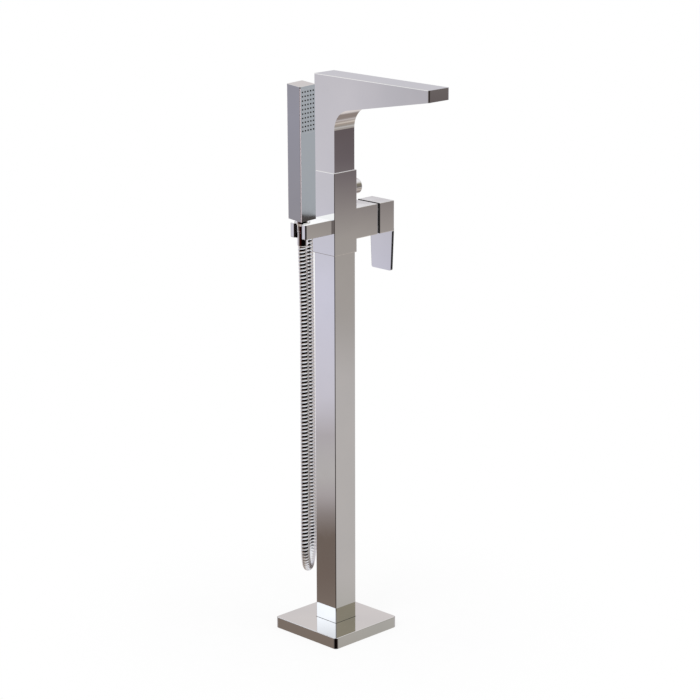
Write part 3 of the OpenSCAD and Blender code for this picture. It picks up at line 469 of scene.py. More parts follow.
# %% The hose's line
ROUTE = MM * np.array([
    [-1.7, -78.3, 742.1], [-2.5, -77.5, 729], [-2.8, -76.7, 713], [-2.7, -75.9, 690], [-2.2, -75.3, 650],
    [-1.3, -75.4, 600], [-0.6, -76.2, 540], [0, -77, 470], [0.5, -77.8, 400], [1.4, -78.9, 330],
    [3.3, -81.1, 265], [5.9, -84, 210], [6.5, -84.7, 186], [3.7, -81.2, 163], [-4.4, -71.4, 143.6],
    [-16.3, -56.4, 130.8], [-30.2, -38.7, 126.4], [-44.2, -21.2, 130.8], [-56.4, -6.3, 143.6],
    [-65.1, 2.9, 163], [-67.9, 6.4, 186], [-67.5, 5.7, 210], [-65.2, 2.9, 265], [-63.9, 0.9, 330],
    [-63.7, 0.3, 400], [-63.9, 0.1, 470], [-64.3, 0, 540], [-64.9, 0, 600], [-65.5, 0, 655],
    [-65.9, 0, 695], [-66, 0, 715], [-66, 0, 727], [-66, 0, 739],
])
LOOP_NORMAL = np.array([0.77, 0.64, 0.0]) / math.hypot(0.77, 0.64)


def smooth_route(points, steps=8):
    """A curve through all the points. With t from 0 to 1 in a span, the nearest four points
    count half of -t + 2 t squared - t cubed, 2 - 5 t squared + 3 t cubed,
    t + 4 t squared - 3 t cubed and t cubed - t squared; the end points are used twice."""
    p = np.vstack([points[:1], points, points[-1:]])
    t = np.arange(steps) / steps
    weights = [
        -t + 2 * t**2 - t**3,
        2 - 5 * t**2 + 3 * t**3,
        t + 4 * t**2 - 3 * t**3,
        t**3 - t**2,
    ]
    spans = np.stack([p[i : len(p) - 3 + i] for i in range(4)], 1)
    curve = np.einsum("sk,nkd->nsd", 0.5 * np.stack(weights, 1), spans)
    return np.vstack([curve.reshape(-1, 3), points[-1:]])


line = smooth_route(ROUTE)
run = np.concatenate([[0], np.cumsum(np.linalg.norm(np.diff(line, axis=0), axis=1))])
print("hose length, mm:", round(float(run[-1]) / MM, 1))

# %% [markdown]
# ## The hose: its wound strip
#
# A shower hose is one strip of polished steel, folded in a hook at each edge and wound
# so that every turn holds the next. From outside it is a round bead that climbs like a
# screw thread, with a narrow dark groove between the turns. A picture of ribs on a
# smooth pipe would fail at its edges, where the beads stand out against the background,
# so the bead is real geometry: the tube's radius depends on how far along the hose the
# point is and how far round it.

# %% The wound hose
HOSE_D, RIB_DEPTH, RIBS = 16.4 * MM, 1.5 * MM, 192
SIDES, PER_RIB = 24, 12
BEAD_POWER = 2.6
LOOK_AHEAD, END_FADE = 2 * MM, 3 * MM


def along_line(s):
    """Points at distances along the line, straight between its points."""
    return np.stack([np.interp(s, run, line[:, k]) for k in range(3)], 1)


def wound_tube():
    """Rings along the line. A ring's two axes are the loop plane's normal crossed with the
    hose's direction, and that direction crossed with the first. The bead's phase is turns
    along the hose less the share of a turn round it. Off the crest is 0 on the bead's crest
    and 1 in the groove, and the radius is the root plus the rib's depth times the square
    root of 1 less that to the bead's power. At both ends the bead fades to the root."""
    total = run[-1]
    s = np.linspace(0, total, RIBS * PER_RIB + 1)
    fore = along_line(np.minimum(s + LOOK_AHEAD, total))
    aft = along_line(np.maximum(s - LOOK_AHEAD, 0))
    way = (fore - aft) / np.linalg.norm(fore - aft, axis=1, keepdims=True)
    one = np.cross(LOOP_NORMAL, way)
    one /= np.linalg.norm(one, axis=1, keepdims=True)
    two = np.cross(way, one)
    a = np.linspace(0, 2 * math.pi, SIDES, endpoint=False)
    phase = (s[:, None] / total * RIBS - a[None, :] / (2 * math.pi)) % 1.0
    off_crest = np.abs(2 * phase - 1)
    bead = np.sqrt(np.maximum(1 - off_crest**BEAD_POWER, 0))
    fade = np.clip(np.minimum(s, total - s) / END_FADE, 0, 1)[:, None]
    radius = HOSE_D / 2 - RIB_DEPTH + RIB_DEPTH * bead * fade
    around = one[:, None, :] * np.cos(a)[None, :, None] + two[:, None, :] * np.sin(a)[None, :, None]
    points = along_line(s)[:, None, :] + radius[:, :, None] * around
    return points.reshape(-1, 3), len(s), off_crest.ravel()


# %% [markdown]
# Only the crests of the strip face the eye, so only they get the painted dark reflection of the camera's
# corner. The mesh carries how far each point is from the crest, and the metal reads it. On the strand
# beside the column the painted dark is narrower, standing in for light that the column throws on it.

# %% The hose's metal and piece
def hose_strip():
    """Polished steel strip with a painted dark reflection on its crests. The Y of a point tells the two
    strands apart."""
    r = chrome_base("hose_metal", wave=0.000004, polish=(0.02, 0.06))
    beside_column = r.ramped(r.spot()["Y"], -0.06, -0.015, 0.0, 0.15)
    away = r.node("ShaderNodeAttribute", attribute_name="off_crest").outputs["Fac"]
    # Painted dark reflection on the crests, narrower beside the column.
    dark = r.all_of(facing_eye(r, 0.2, 0.32, beside_column), r.ramped(away, 0.48, 0.64, 1.0, 0.0))
    return with_painted_reflection(r, dark, (0.06, 0.012, 0.012, 1))


points, rings, off_crest = wound_tube()
faces = capped_faces(rings, SIDES)
hose = make_piece("wound_hose", points, faces, None, hose_strip(), None, "shower_hose")
hose.data.attributes.new("off_crest", "FLOAT", "POINT").data.foreach_set("value", off_crest)

# %% [markdown]
# ## The two nuts of the hose
#
# The upper one is a long cone that drops into the fork and carries the hand shower. It
# is turned on a lathe, so one profile of radius against height says all of it, bore
# included: the path runs up the outside, over the rim and back down the bore. The fork
# leans the cone five degrees towards the user, so the turned shape leans too.

# %% The cone nut
LEAN = math.radians(5)
LEAN_AXIS = np.array([1, 1, 0]) / math.sqrt(2)
SEAT = np.array([0, -80, 770.0])
TURN_SIDES = 72
TAIL_BORE, THREAD_BORE = 7.2, 10.45


def lean(points):
    """Turns points about the level diagonal through the origin: the part along the axis
    stays, and the rest goes by the cosine and, crossed with the axis, by the sine."""
    along = (points @ LEAN_AXIS)[:, None] * LEAN_AXIS
    return along + (points - along) * math.cos(LEAN) + np.cross(LEAN_AXIS, points) * math.sin(LEAN)


outside = [
    (TAIL_BORE, -28), (8.5, -28), (9.5, -26.5), (9.5, -2), (10, -1.5), (10, 0.5), (9.5, 1),
    (10.2, 10), (12.2, 15), (12.2, 21.1), (11.6, 21.7),
]
bore = [(THREAD_BORE, 21.7), (THREAD_BORE, 14), (9.2, 14), (9.2, 9.5), (TAIL_BORE, 9.5)]
cone_radii = [0.2, 0.4, 0.6, 0.2, 0.25, 0.25, 0.2, 3, 1.5, 0.4, 0.3, 0.2, 0.2, 0.2, 0.2, 0.2]
point, normal = soft_profile(outside + bore, cone_radii, closed=True)
place, out = turned_surface(point, normal, TURN_SIDES)
cone_nut = make_piece(
    "cone_nut", MM * (lean(place) + SEAT), grid_faces(len(point), TURN_SIDES, loop=True), lean(out),
    round_chrome, "hose_end", "hose_cone_nut",
)

# %% [markdown]
# The lower nut is a hexagon, 24 mm across its flats, with its corners turned off at both
# ends. Where the turning cone meets a flat it leaves a curved line, low in the middle of
# the flat and high at the corner. That line is known exactly, so it becomes a row of the
# grid, and the curve is crisp without many faces. A bevel then softens every edge.

# %% The hexagon nut
HEX_FLAT, HEX_HIGH, HEX_LEDGE = 12.0, 18.5, 4.5
HEX_FOOT = np.array([-66, 0, 739.0])
CHAMFER = math.tan(math.radians(30))


def reach(a):
    """How far a hexagon 2 wide over its flats reaches at an angle: 1 over the cosine of the
    angle from the nearest flat's middle."""
    return 1 / np.cos((a % (math.pi / 3)) - math.pi / 6)


def rings_of(rows, a):
    """Points of rows of a radius and a height, each one number or one for every angle."""
    spin = [np.cos(a), np.sin(a)]
    places = [np.stack([r * spin[0], r * spin[1], np.full(len(a), 0.0) + z], -1) for r, z in rows]
    return np.concatenate(places), len(rows), len(a)


def hexagon_nut(per_side=8):
    """The flats lie at half the width times the reach. The end cone starts as a circle of
    half the width and meets the flat lower by the difference of the two radii times the
    tangent of 30 degrees."""
    a = np.linspace(0, 2 * math.pi, 6 * per_side, endpoint=False)
    flat = HEX_FLAT * reach(a)
    drop = (flat - HEX_FLAT) * CHAMFER
    rows = [
        (TAIL_BORE, 0), (HEX_FLAT, 0), (flat, drop), (flat, HEX_HIGH - drop), (HEX_FLAT, HEX_HIGH),
        (THREAD_BORE, HEX_HIGH), (THREAD_BORE, HEX_LEDGE), (TAIL_BORE, HEX_LEDGE),
    ]
    return rings_of(rows, a)


points, rows, columns = hexagon_nut()
hex_nut = make_piece(
    "hexagon_nut", MM * (points + HEX_FOOT), grid_faces(rows, columns, loop=True), None,
    chrome, "filler", "hose_hex_nut",
)
hex_nut.data.shade_flat()
edge = hex_nut.modifiers.new("soft_edges", "BEVEL")
edge.width, edge.segments = 0.25 * MM, 2
edge.limit_method, edge.angle_limit = "ANGLE", math.radians(25)
edge.harden_normals = True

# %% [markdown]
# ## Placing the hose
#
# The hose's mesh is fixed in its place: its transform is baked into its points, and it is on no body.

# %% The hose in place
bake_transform(hose)
print("the hose leaves the outlet at", ROUTE[-1].round(4))

# %% [markdown]
# ## The square foot
#
# The cover is a square tray, upside down, folded and welded and then plated. Seen in
# section it is one closed path: up the outer wall, over a rounded edge, in across the
# top to the column, down through the hole and back along the inside. Carried round a
# square whose corners are arcs, that path makes the whole tray.

# %% Profiles carried round a square
def squared_surface(point, normal, halves, radii, steps=6):
    """A profile of half-width and height carried round a square. Each corner is an arc. Its
    radius is read off from the half-width, straight between the given ones; its centre is
    the half-width less the radius out along both sides, and its points lie a radius from
    there at angles from 0 to 90 degrees."""
    quarter = np.linspace(0, math.pi / 2, steps + 1)
    a = (np.arange(4)[:, None] * math.pi / 2 + quarter[None, :]).ravel()
    sx = np.repeat([1, -1, -1, 1], steps + 1)
    sy = np.repeat([1, 1, -1, -1], steps + 1)
    d = point[:, :1]
    r = np.interp(d, halves, radii)
    x = sx * (d - r) + r * np.cos(a)
    y = sy * (d - r) + r * np.sin(a)
    height, upright = (np.broadcast_to(pair[:, 1:], x.shape) for pair in (point, normal))
    out = np.stack([normal[:, :1] * np.cos(a), normal[:, :1] * np.sin(a), upright], -1)
    return np.stack([x, y, height], -1).reshape(-1, 3), out.reshape(-1, 3), len(a)


# %% The foot cover
FOOT_HALF, FOOT_HIGH, FOOT_WALL, HOLE_HALF = 79.5, 21.0, 2.5, 26.05
FOOT_CORNERS = ([26, 30, 74, FOOT_HALF], [1.2, 1.2, 0.5, 6.0])
# Painted black shade in the joint where the column enters the foot's top, out to this half-width.
JOINT_SHADE_HALF = 26.7
PAINTED_JOINT_SHADE = (0.02, 0.02, 0.02, 1)


def foot_chrome():
    """The square pieces' chrome, with painted black shade in the joint round the column: where the larger
    of X and Y is inside the line and the height is the top's."""
    # The foot's upright corners get a darker painted edge reflection.
    r = edged_chrome("foot_chrome", (0.02, 0.012, 0.012, 1))
    x, y, z = r.spot()
    wide = r.maths("MAXIMUM", r.maths("ABSOLUTE", x), r.maths("ABSOLUTE", y))
    near = r.maths("LESS_THAN", wide, JOINT_SHADE_HALF * MM)
    on_top = r.maths("GREATER_THAN", z, (FOOT_HIGH - 0.5) * MM)
    r.over(r.all_of(near, on_top), PAINTED_JOINT_SHADE, 0.5)
    return r.material


inner, roof = FOOT_HALF - FOOT_WALL, FOOT_HIGH - FOOT_WALL
tray = [
    (inner, 0), (FOOT_HALF, 0), (FOOT_HALF, FOOT_HIGH),
    (HOLE_HALF, FOOT_HIGH), (HOLE_HALF, roof), (inner, roof),
]
point, normal = soft_profile(tray, [0.3, 0.4, 1.2, 0.3, 0.3, 1.0], closed=True)
place, out, columns = squared_surface(point, normal, *FOOT_CORNERS)
make_piece(
    "foot_cover", MM * place, grid_faces(len(point), columns, loop=True), out,
    foot_chrome(), "filler", "base_cover",
)

# %% [markdown]
# ## The column
#
# The column is the same idea with a plainer path: a square tube, 51.5 mm over its faces,
# which is what the photograph's edges give, with small roundings along its edges. The
# headless screw that holds the body reaches to the tube's back face.

# %% The column
COLUMN_HALF, COLUMN_BORE, COLUMN_FOOT, COLUMN_TOP = 25.75, 23.0, 10.0, 718.0
tube = [
    (COLUMN_BORE, COLUMN_FOOT), (COLUMN_HALF, COLUMN_FOOT),
    (COLUMN_HALF, COLUMN_TOP), (COLUMN_BORE, COLUMN_TOP),
]
point, normal = soft_profile(tube, [0.3, 0.4, 0.4, 0.3], closed=True)
place, out, columns = squared_surface(point, normal, [COLUMN_BORE, COLUMN_HALF], [0.5, 1.2])
make_piece(
    "square_column", MM * place, grid_faces(len(point), columns, loop=True), out,
    chrome, "filler", "column_tube",
)

# %% The screw in the column's back
SCREW_LONG, SCREW_START, SCREW_Z = 6.85, -19.0, 709.0


def headless_screw(long, radius=2.5, socket=1.25, deep=2.2, sides=36):
    """A rod along Z whose top is dished round a hexagon socket. The socket's corners are as
    far out as the given radius."""
    a = np.linspace(0, 2 * math.pi, sides, endpoint=False)
    hexagon = socket * math.cos(math.pi / 6) * reach(a)
    rows = [
        (radius * 0.75, 0), (radius, 0.8), (radius, long - 0.4), (radius - 0.4, long),
        (hexagon, long), (hexagon, long - deep),
    ]
    return rings_of(rows, a)


points, rows, columns = headless_screw(SCREW_LONG)
along_minus_x = np.stack([SCREW_START - points[:, 2], points[:, 1], SCREW_Z + points[:, 0]], 1)
screw = make_piece(
    "column_back_screw", MM * along_minus_x, capped_faces(rows, columns), None,
    steel, "filler", "body_screw",
)
screw.data.shade_flat()

# %% [markdown]
# ## The fork
#
# The hand shower hangs in a fork. Seen from above its outline is one path: down the left
# side, round the left prong, in through the mouth, three quarters round the bore, out
# again and round the right prong. The path rises straight up, with soft edges at the
# bottom and the top.

# %% The fork's outline
FORK_HALF, FORK_TIP, FORK_BACK, MOUTH, BORE_R, PRONG_R = 20.0, -91.0, -28.0, 8.5, 11.3, 2.7
FORK_LOW, FORK_HIGH, FORK_SOFT, FORK_Y = 757.0, 783.0, 1.0, -80.0


def fork_outline():
    """The prongs are soft corners. Between them the bore is an arc about the fork's centre,
    from where it meets the mouth's left side clockwise to its right side, and its outward
    direction points to the centre."""
    lip = FORK_Y - math.sqrt(BORE_R**2 - MOUTH**2)
    left = [(-FORK_HALF, FORK_BACK), (-FORK_HALF, FORK_TIP), (-MOUTH, FORK_TIP), (-MOUTH, lip)]
    corner, facing = soft_profile(left, [PRONG_R, PRONG_R], closed=False, steps=8)
    start = math.atan2(lip - FORK_Y, -MOUTH) % (2 * math.pi)
    a = np.linspace(start, math.pi - start, 40)
    arc = np.stack([BORE_R * np.cos(a), FORK_Y + BORE_R * np.sin(a)], -1)
    inward = -np.stack([np.cos(a), np.sin(a)], -1)
    mirrored, turned = corner[::-1] * [-1, 1], facing[::-1] * [-1, 1]
    return np.vstack([corner, arc, mirrored]), np.vstack([facing, inward, turned])


# %% The fork
def raised(outline, facing, low, high, soft, steps=4):
    """The outline carried up. At the soft edges it moves in by the radius less the radius
    times the sine of the angle, and the outward direction tips to the vertical."""
    a = np.linspace(0, math.pi / 2, steps + 1)
    inset = np.concatenate([soft * (1 - np.sin(a)), soft * (1 - np.cos(a))])[:, None, None]
    z = np.concatenate([low + soft * (1 - np.cos(a)), high - soft * (1 - np.sin(a))])[:, None, None]
    level = np.concatenate([np.sin(a), np.cos(a)])[:, None, None] * facing[None]
    upward = np.concatenate([-np.cos(a), np.sin(a)])[:, None, None]
    upright = (*level.shape[:2], 1)
    points = np.concatenate([outline[None] - inset * facing[None], np.broadcast_to(z, upright)], -1)
    out = np.concatenate([level, np.broadcast_to(upward, upright)], -1)
    return points.reshape(-1, 3), out.reshape(-1, 3), len(z), len(outline)


points, out, rows, columns = raised(*fork_outline(), FORK_LOW, FORK_HIGH, FORK_SOFT)
make_piece(
    "hand_shower_fork", MM * points, capped_faces(rows, columns), out,
    chrome, "filler", "holder_arm",
)

# %% [markdown]
# ## The pull knob
#
# The knob is turned from bar: a neck to get a fingernail behind, a full rim, and a low
# dome in front. It lies along +Y, so the lathe's axis is swung from Z to Y at the end.

# %% The knob's profile
KNOB_R, KNOB_LONG, KNOB_Y, KNOB_Z = 14.0, 28.0, 33.0, 831.0
NECK_R, DOME_EDGE, DOME_RISE = KNOB_R - 3.4, KNOB_R - 0.6, 5.0
DOME_R = (KNOB_R**2 + DOME_RISE**2) / (2 * DOME_RISE)
DOME_CENTRE = KNOB_LONG - DOME_R


def knob_profile():
    """Straight pieces with soft corners up to the dome's edge, and then an arc: at an angle
    from the axis its radius is the dome's times the sine, and its height is the centre's
    plus the dome's radius times the cosine."""
    rim = [
        (0.4, 0), (KNOB_R - 4, 0), (NECK_R, 0.6), (NECK_R, 4), (KNOB_R - 0.8, 6.4), (KNOB_R, 7.4),
        (KNOB_R, KNOB_LONG - 5.8), (DOME_EDGE, DOME_CENTRE + math.sqrt(DOME_R**2 - DOME_EDGE**2)),
    ]
    point, normal = soft_profile(rim, [0.3, 0.4, 0.8, 0.8, 0.5, 0.8], closed=False)
    a = np.linspace(math.asin(DOME_EDGE / DOME_R), 0.01, 14)
    domed = np.stack([DOME_R * np.sin(a), DOME_CENTRE + DOME_R * np.cos(a)], 1)
    outward = np.stack([np.sin(a), np.cos(a)], 1)
    return np.vstack([point[:-1], domed]), np.vstack([normal[:-1], outward])


# %% The knob
FRONT_Y = (KNOB_Y + KNOB_LONG - 5.5) * MM


def toward_y(points):
    """Swings the Z axis on to Y: X stays, Z becomes Y, and Y becomes minus Z."""
    return np.stack([points[:, 0], points[:, 2], -points[:, 1]], 1)


def knob_chrome():
    """Chrome with a painted dark reflection where its round side faces the eye, and plain on the domed
    front.
    """
    r = chrome_base("knob_chrome")
    round_side = r.ramped(r.spot()["Y"], FRONT_Y - 0.002, FRONT_Y, 1.0, 0.0)
    return with_painted_reflection(r, r.all_of(facing_eye(r, 0.16, 0.32), round_side), (0.12, 0.012, 0.008, 1))


point, normal = knob_profile()
place, out = turned_surface(point, normal, TURN_SIDES)
make_piece(
    "pull_knob", MM * (toward_y(place) + [0, KNOB_Y, KNOB_Z]), capped_faces(len(point), TURN_SIDES),
    toward_y(out), knob_chrome(), "diverter", "diverter_knob",
)

# %% [markdown]
# ## Finishes for the pieces from the frame
#
# The cast and folded pieces keep their CAD surfaces, whose flats and roundings came
# over with exact normals. Each takes the finish of its slot in the record.

# %% Finishes on the frame's pieces
for row in frame["record"]["subparts"]:
    kept = nodes[row["node"]]
    kept.data.materials.clear()
    kept.data.materials.append(FINISHES[row["material_slot"]])
print("finished", len(nodes), "frame pieces")

# %% [markdown]
# The lever and the hand shower need more than their slot says. The lever's cap is a cast box; its hollow
# and back rim get painted shade, and the blade's narrow sides a painted dark reflection. The hand shower's
# upright edges get a painted light reflection line.

# %% The lever's finish
# Places and half-widths are in metres, as the shader reads them.
CAP_Z, CAP_HOLLOW, CAP_FRONT, CAP_RIM = 0.77, 0.0247, 0.1192, 0.0876
BLADE_LOW, BLADE_HIGH, BLADE_TOP = 0.667, 0.742, 0.741
BLADE_HALF_LOW, BLADE_HALF_HIGH = 0.0238, 0.02725
# Where the painted highlight lies on the cap's top: short of this Y and above this Z.
HIGHLIGHT_Y, HIGHLIGHT_Z = 0.0894, 0.7972
# Painted shade in the cap's hollow and back rim, and a painted dark reflection on the blade's narrow
# sides.
PAINTED_SHADE_AND_REFLECTION = (0.012, 0.011, 0.012, 1)


def lever_chrome():
    """The square pieces' chrome with near black painted in three places: painted shade in the hollow of
    the cap, which is everything near its axis and short of its front wall, and on the cap's back rim; and
    a painted dark reflection on the blade's narrow sides, where X passes the half-width of the tapering
    blade. On the cap's top the rim is followed by a narrow painted highlight."""
    r = edged_chrome("lever_chrome")
    x, y, z = r.spot()
    wide = r.maths("ABSOLUTE", x)
    high = r.maths("ABSOLUTE", r.maths("SUBTRACT", z, CAP_Z))
    near_axis = r.maths("LESS_THAN", r.maths("MAXIMUM", wide, high), CAP_HOLLOW)
    hollow = r.all_of(near_axis, r.maths("LESS_THAN", y, CAP_FRONT))
    inside = r.maths("MAXIMUM", hollow, r.maths("LESS_THAN", y, CAP_RIM))
    half_width = r.ramped(z, BLADE_LOW, BLADE_HIGH, BLADE_HALF_LOW, BLADE_HALF_HIGH)
    narrow = r.all_of(r.maths("GREATER_THAN", wide, half_width), r.maths("LESS_THAN", z, BLADE_TOP))
    # Painted highlight: white along the cap's top beside the back rim.
    painted_highlight = r.all_of(r.maths("LESS_THAN", y, HIGHLIGHT_Y), r.maths("GREATER_THAN", z, HIGHLIGHT_Z))
    r.tint(painted_highlight, (1.0, 1.0, 1.0, 1))
    # Near black laid over as painted shade and painted dark reflection.
    r.over(r.maths("MAXIMUM", inside, narrow), PAINTED_SHADE_AND_REFLECTION, 0.7)
    return r.material


# %% The hand shower's finish
def handset_chrome():
    """Chrome with a painted light reflection along its upright edges."""
    r = chrome_base("handset_chrome", polish=(0.006, 0.03))
    # Painted light reflection on the upright edges.
    r.over(r.upright_edges(), paint(204, 190, 196), 0.5)
    return r.material


nodes["lever_handle"].data.materials[0] = lever_chrome()
nodes["handset_body"].data.materials[0] = handset_chrome()
print("lever and hand shower have their own chrome")

# %% [markdown]
# ## The room that the chrome mirrors
#
# Chrome's picture is made by the room, which a photographer builds from pale panels and
# dark gaps. Here it is a function of the mirrored direction alone: four upright strips
# of colour, one for each quarter of the room, and a wing on the right one towards the
# camera. Each is a ramp from straight down, -1, to straight up, 1. Only mirror rays see
# it. The camera sees plain white, and an even white sky lights everything else.
#
# A stop is a height and a colour as a screen shows it. An upright flat mirrors a thin
# slice of the room, from -0.15 at the spout down to -0.37 at the foot. A level top
# mirrors 0.2 and more, and the foot's top 0.36. The stops are closest together there.

# %% The left panel: a lit cloth over a dark skirting
LEFT_PANEL = [
    (-1.0, 200, 192, 182), (-0.7, 176, 160, 146), (-0.42, 108, 96, 86), (-0.368, 122, 110, 101),
    (-0.352, 109, 96, 88), (-0.3335, 107, 95, 87), (-0.3195, 166, 159, 159), (-0.311, 178, 174, 171),
    (-0.297, 170, 164, 166), (-0.283, 196, 192, 200), (-0.24, 201, 199, 212), (-0.2, 194, 191, 197),
    (-0.14, 192, 188, 192), (-0.06, 168, 165, 172), (0.04, 120, 117, 122), (0.12, 222, 226, 234),
    (0.2, 255, 255, 252), (0.25, 255, 255, 252), (0.33, 255, 258, 262), (0.366, 270, 273, 275),
    (0.3755, 224, 226, 228), (0.6, 216, 218, 224), (1.0, 246, 246, 248),
]

# %% The right panel and its wing: a warm grey wall with dark gaps
RIGHT_PANEL = [
    (-1.0, 206, 198, 186), (-0.72, 196, 186, 174), (-0.62, 118, 102, 92), (-0.54, 198, 188, 178),
    (-0.44, 124, 108, 98), (-0.366, 168, 165, 158), (-0.355, 178, 173, 169), (-0.275, 176, 171, 168),
    (-0.25, 160, 154, 149), (-0.22, 158, 151, 145), (-0.205, 134, 126, 123), (-0.19, 104, 95, 97),
    (-0.172, 91, 82, 83), (-0.155, 108, 101, 98), (0.0, 134, 127, 120), (0.3, 140, 133, 116),
    (0.38, 140, 133, 116), (0.6, 206, 202, 196), (1.0, 246, 246, 248),
]
RIGHT_WING = [
    (-1.0, 206, 198, 186), (-0.6, 120, 112, 106), (-0.34, 150, 152, 156), (-0.31, 158, 162, 166),
    (-0.2, 164, 168, 172), (0.1, 150, 150, 148), (0.4, 170, 170, 168), (0.7, 214, 214, 212),
    (1.0, 246, 246, 248),
]

# %% The far and the near panel
FAR_PANEL = [
    (-1.0, 204, 196, 184), (-0.8, 160, 148, 142), (-0.7, 132, 120, 114), (-0.62, 206, 199, 196),
    (-0.45, 210, 200, 194), (-0.3, 214, 209, 215), (0.0, 198, 194, 200), (0.16, 194, 192, 197),
    (0.26, 204, 198, 197), (0.36, 204, 198, 196), (0.46, 188, 180, 174), (0.7, 224, 222, 222),
    (1.0, 246, 246, 248),
]
NEAR_PANEL = [
    (-1.0, 240, 232, 230), (-0.84, 226, 216, 212), (-0.7, 160, 150, 146), (-0.5, 92, 84, 82),
    (-0.3, 106, 97, 93), (-0.15, 116, 108, 104), (0.1, 140, 134, 132), (0.3, 190, 188, 190),
    (0.5, 236, 240, 246), (1.0, 250, 250, 252),
]
PANELS = (LEFT_PANEL, RIGHT_PANEL, RIGHT_WING, FAR_PANEL, NEAR_PANEL)
print("stops on the panels:", [len(p) for p in PANELS])

# %% The world's helpers
world = bpy.data.worlds.new("studio")
bpy.context.scene.world = world
world.use_nodes = True
tree = world.node_tree
tree.nodes.clear()
DIAGONAL = math.sqrt(0.5)


def studio(kind, inputs=(), **settings):
    """A node of the world."""
    return add_node(tree, kind, inputs, **settings)


def soft_step(value, low, high, first=0.0, last=1.0):
    """Glides from first to last as the value goes from low to high."""
    span = {"Value": value, "From Min": low, "From Max": high, "To Min": first, "To Max": last}
    return studio("ShaderNodeMapRange", span, interpolation_type="SMOOTHSTEP").outputs[0]


def colour_ramp(value, stops):
    """A ramp of colours, whose stops are a place from 0 to 1 and a linear colour."""
    made = studio("ShaderNodeValToRGB", {"Fac": value})
    elements = made.color_ramp.elements
    for k, (where, colour) in enumerate(stops):
        stop = elements[k] if k < 2 else elements.new(where)
        stop.position, stop.color = where, colour
    return made.outputs["Color"]


def blend_colours(share, first, second, way="MIX"):
    """Two colours in one, by the share."""
    parts = {0: share, 6: first, 7: second}
    return studio("ShaderNodeMix", parts, data_type="RGBA", blend_type=way).outputs[2]


def lean_along(axis):
    """How far the mirrored direction leans along an axis, -1 to 1."""
    parts = {0: direction, 1: axis}
    return studio("ShaderNodeVectorMath", parts, operation="DOT_PRODUCT").outputs["Value"]


def maths(way, *numbers):
    """One sum or product."""
    return studio("ShaderNodeMath", dict(enumerate(numbers)), operation=way).outputs[0]


# %% The panels in the world
direction = studio("ShaderNodeTexCoord").outputs["Generated"]
tall = studio("ShaderNodeSeparateXYZ", {0: direction}).outputs["Z"]
height = maths("MULTIPLY_ADD", tall, 0.5, 0.5)
to_right = lean_along((DIAGONAL, DIAGONAL, 0))
to_near = lean_along((DIAGONAL, -DIAGONAL, 0))
left, right_side, wing, far, near = (
    colour_ramp(height, [((z + 1) / 2, paint(*colour)) for z, *colour in stops]) for stops in PANELS
)
print("world with its panels:", len(tree.nodes), "nodes")

# %% [markdown]
# The left panel is a cloth with a lamp behind it, so it is brightest in the middle and
# falls off to both sides. Two lines in the room are too sharp for a ramp, so they are
# steps of their own: the foot of the wing, and a bright band on the far panel that the
# top of the fork mirrors. The strips then melt into each other, by how far the direction
# leans to the right or left and how far it leans towards or away from the camera.

# %% The world, joined up
CLOTH_LIGHT = [(0.0, 0.46), (0.22, 0.55), (0.42, 1.0), (0.5, 1.0), (0.62, 0.78), (1.0, 0.70)]
across_cloth = soft_step(to_near, -0.25, 0.25)
falloff = colour_ramp(across_cloth, [(where, (level, level, level, 1)) for where, level in CLOTH_LIGHT])
left_lit = blend_colours(1.0, left, falloff, "MULTIPLY")
wing_lit = blend_colours(soft_step(tall, -0.3046, -0.3036), paint(70, 66, 64), wing)
right_lit = blend_colours(soft_step(to_near, 0.05, 0.1), right_side, wing_lit)
sides = blend_colours(soft_step(to_right, -0.3, 0.3), left_lit, right_lit)
bright_band = maths("MULTIPLY", soft_step(tall, 0.2045, 0.209), soft_step(tall, 0.24, 0.28, 1.0, 0.0))
far_lit = blend_colours(bright_band, far, paint(250, 250, 250))
ends = blend_colours(soft_step(to_near, -0.3, 0.3), far_lit, near)
room_colour = blend_colours(soft_step(maths("ABSOLUTE", to_near), 0.18, 0.28), sides, ends)
print("world joined up:", len(tree.nodes), "nodes")

# %% What each kind of ray sees
ROOM_LIGHT, SKY_LIGHT = 1.16, 0.72
room = studio("ShaderNodeBackground", {"Color": room_colour, "Strength": ROOM_LIGHT})
sky = studio("ShaderNodeBackground", {"Color": (1, 1, 1, 1), "Strength": SKY_LIGHT})
white = studio("ShaderNodeBackground", {"Color": (1, 1, 1, 1), "Strength": 1.0})
ray = studio("ShaderNodeLightPath")
glossy = {0: ray.outputs["Is Glossy Ray"], 1: sky.outputs[0], 2: room.outputs[0]}
mirrored = studio("ShaderNodeMixShader", glossy)
seen = maths("MAXIMUM", ray.outputs["Is Camera Ray"], ray.outputs["Is Transmission Ray"])
all_rays = studio("ShaderNodeMixShader", {0: seen, 1: mirrored.outputs[0], 2: white.outputs[0]})
studio("ShaderNodeOutputWorld", {"Surface": all_rays.outputs[0]})
print("world:", len(tree.nodes), "nodes")

# %% [markdown]
# ## Floor and lamps
#
# The floor is plain and pale. Close to the foot it takes the soft shadow, and further
# out it fades into the white background, so no edge shows. One large soft lamp over
# the camera's left shoulder and a weaker one on the right give the shadow a direction.

# %% The floor
FLOOR_HALF, FLOOR_Z = 9.0, -0.0004
FADE_FROM, FADE_TO, FADE_LEAST = 0.12, 0.6, 0.86


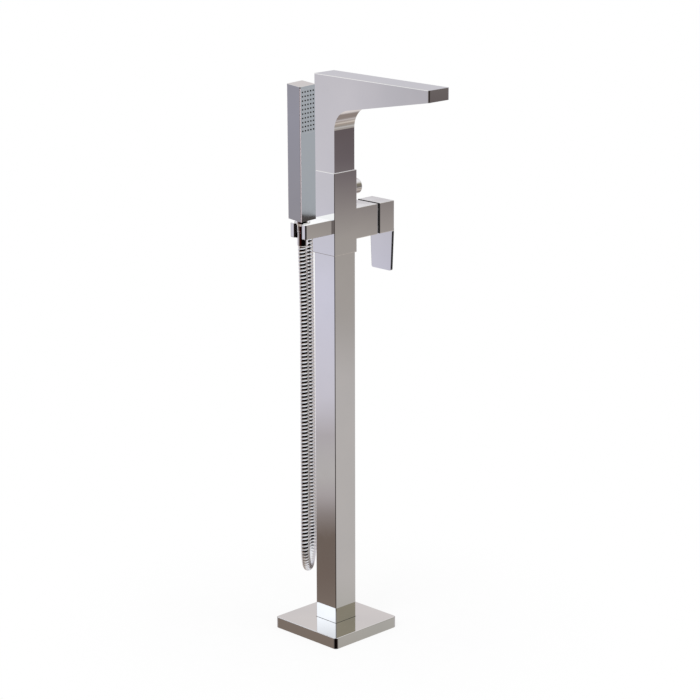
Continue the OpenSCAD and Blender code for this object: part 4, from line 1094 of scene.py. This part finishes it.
def pale_floor():
    """Matt white, glowing like the background where the camera looks at it from above: a
    little close to the foot and fully further out. From below it is clear."""
    plain = Recipe("pale_floor", roughness=0.9)
    plain.two_colours(plain.noise(30), (0.90, 0.90, 0.90, 1), (0.93, 0.93, 0.93, 1))
    from_foot = {0: plain.coords.outputs["Object"]}
    away = plain.node("ShaderNodeVectorMath", from_foot, operation="LENGTH").outputs["Value"]
    span = {"Value": away, "From Min": FADE_FROM, "From Max": FADE_TO, "To Min": FADE_LEAST, "To Max": 1.0}
    fade = plain.node("ShaderNodeMapRange", span, interpolation_type="SMOOTHSTEP").outputs[0]
    camera_ray = plain.node("ShaderNodeLightPath").outputs["Is Camera Ray"]
    glow = plain.node("ShaderNodeMath", {0: fade, 1: camera_ray}, operation="MULTIPLY").outputs[0]
    backdrop = plain.node("ShaderNodeEmission", {"Color": (1, 1, 1, 1), "Strength": 1.0}).outputs[0]
    parts = {0: glow, 1: plain.shader.outputs[0], 2: backdrop}
    lit = plain.node("ShaderNodeMixShader", parts).outputs[0]
    clear = plain.node("ShaderNodeBsdfTransparent").outputs[0]
    below = plain.node("ShaderNodeNewGeometry").outputs["Backfacing"]
    surface = plain.node("ShaderNodeMixShader", {0: below, 1: lit, 2: clear}).outputs[0]
    plain.tree.links.new(surface, plain.tree.nodes["Material Output"].inputs["Surface"])
    return plain.material


mesh = bpy.data.meshes.new("floor")
square = [(x * FLOOR_HALF, y * FLOOR_HALF, FLOOR_Z) for x, y in ((-1, -1), (1, -1), (1, 1), (-1, 1))]
mesh.from_pydata(square, [], [(0, 1, 2, 3)])
mesh.materials.append(pale_floor())
floor = bpy.data.objects.new("floor", mesh)
bpy.context.scene.collection.objects.link(floor)
floor.visible_glossy = False
floor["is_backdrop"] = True
print("floor:", 2 * FLOOR_HALF, "m wide")


# %% The lamps
def soft_lamp(name, spot, aim, size, watts):
    """A square area lamp at a spot, turned to face its aim, which mirrors don't see."""
    data = bpy.data.lights.new(name, "AREA")
    data.size, data.energy = size, watts
    lamp = bpy.data.objects.new(name, data)
    back = np.array(spot, float) - np.array(aim, float)
    back /= np.linalg.norm(back)
    side = np.cross([0, 0, 1], back)
    side /= np.linalg.norm(side)
    lamp.matrix_world = pose_matrix(side, np.cross(back, side), back, spot)
    lamp.visible_glossy = False
    bpy.context.scene.collection.objects.link(lamp)
    print(f"{name}: {watts} W, {size} m wide")


MIDDLE = (0, 0, 0.5)
soft_lamp("key_lamp", (0.6, -2.6, 2.6), MIDDLE, 1.6, 42)
soft_lamp("fill_lamp", (2.6, 1.0, 2.2), MIDDLE, 1.6, 18)

# %% [markdown]
# ## What mirrors may show
#
# A catalogue picture of chrome is retouched: the small pictures of one piece in another
# are taken out, because they break up the flats. Only the column, the foot and the fork
# show in mirrors, and the rest leaves them alone.

# %% Mirrors
IN_MIRRORS = {"square_column", "hand_shower_fork", "foot_cover"}
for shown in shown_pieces():
    shown.visible_glossy = shown.name in IN_MIRRORS
print("shown in mirrors:", sorted(IN_MIRRORS))
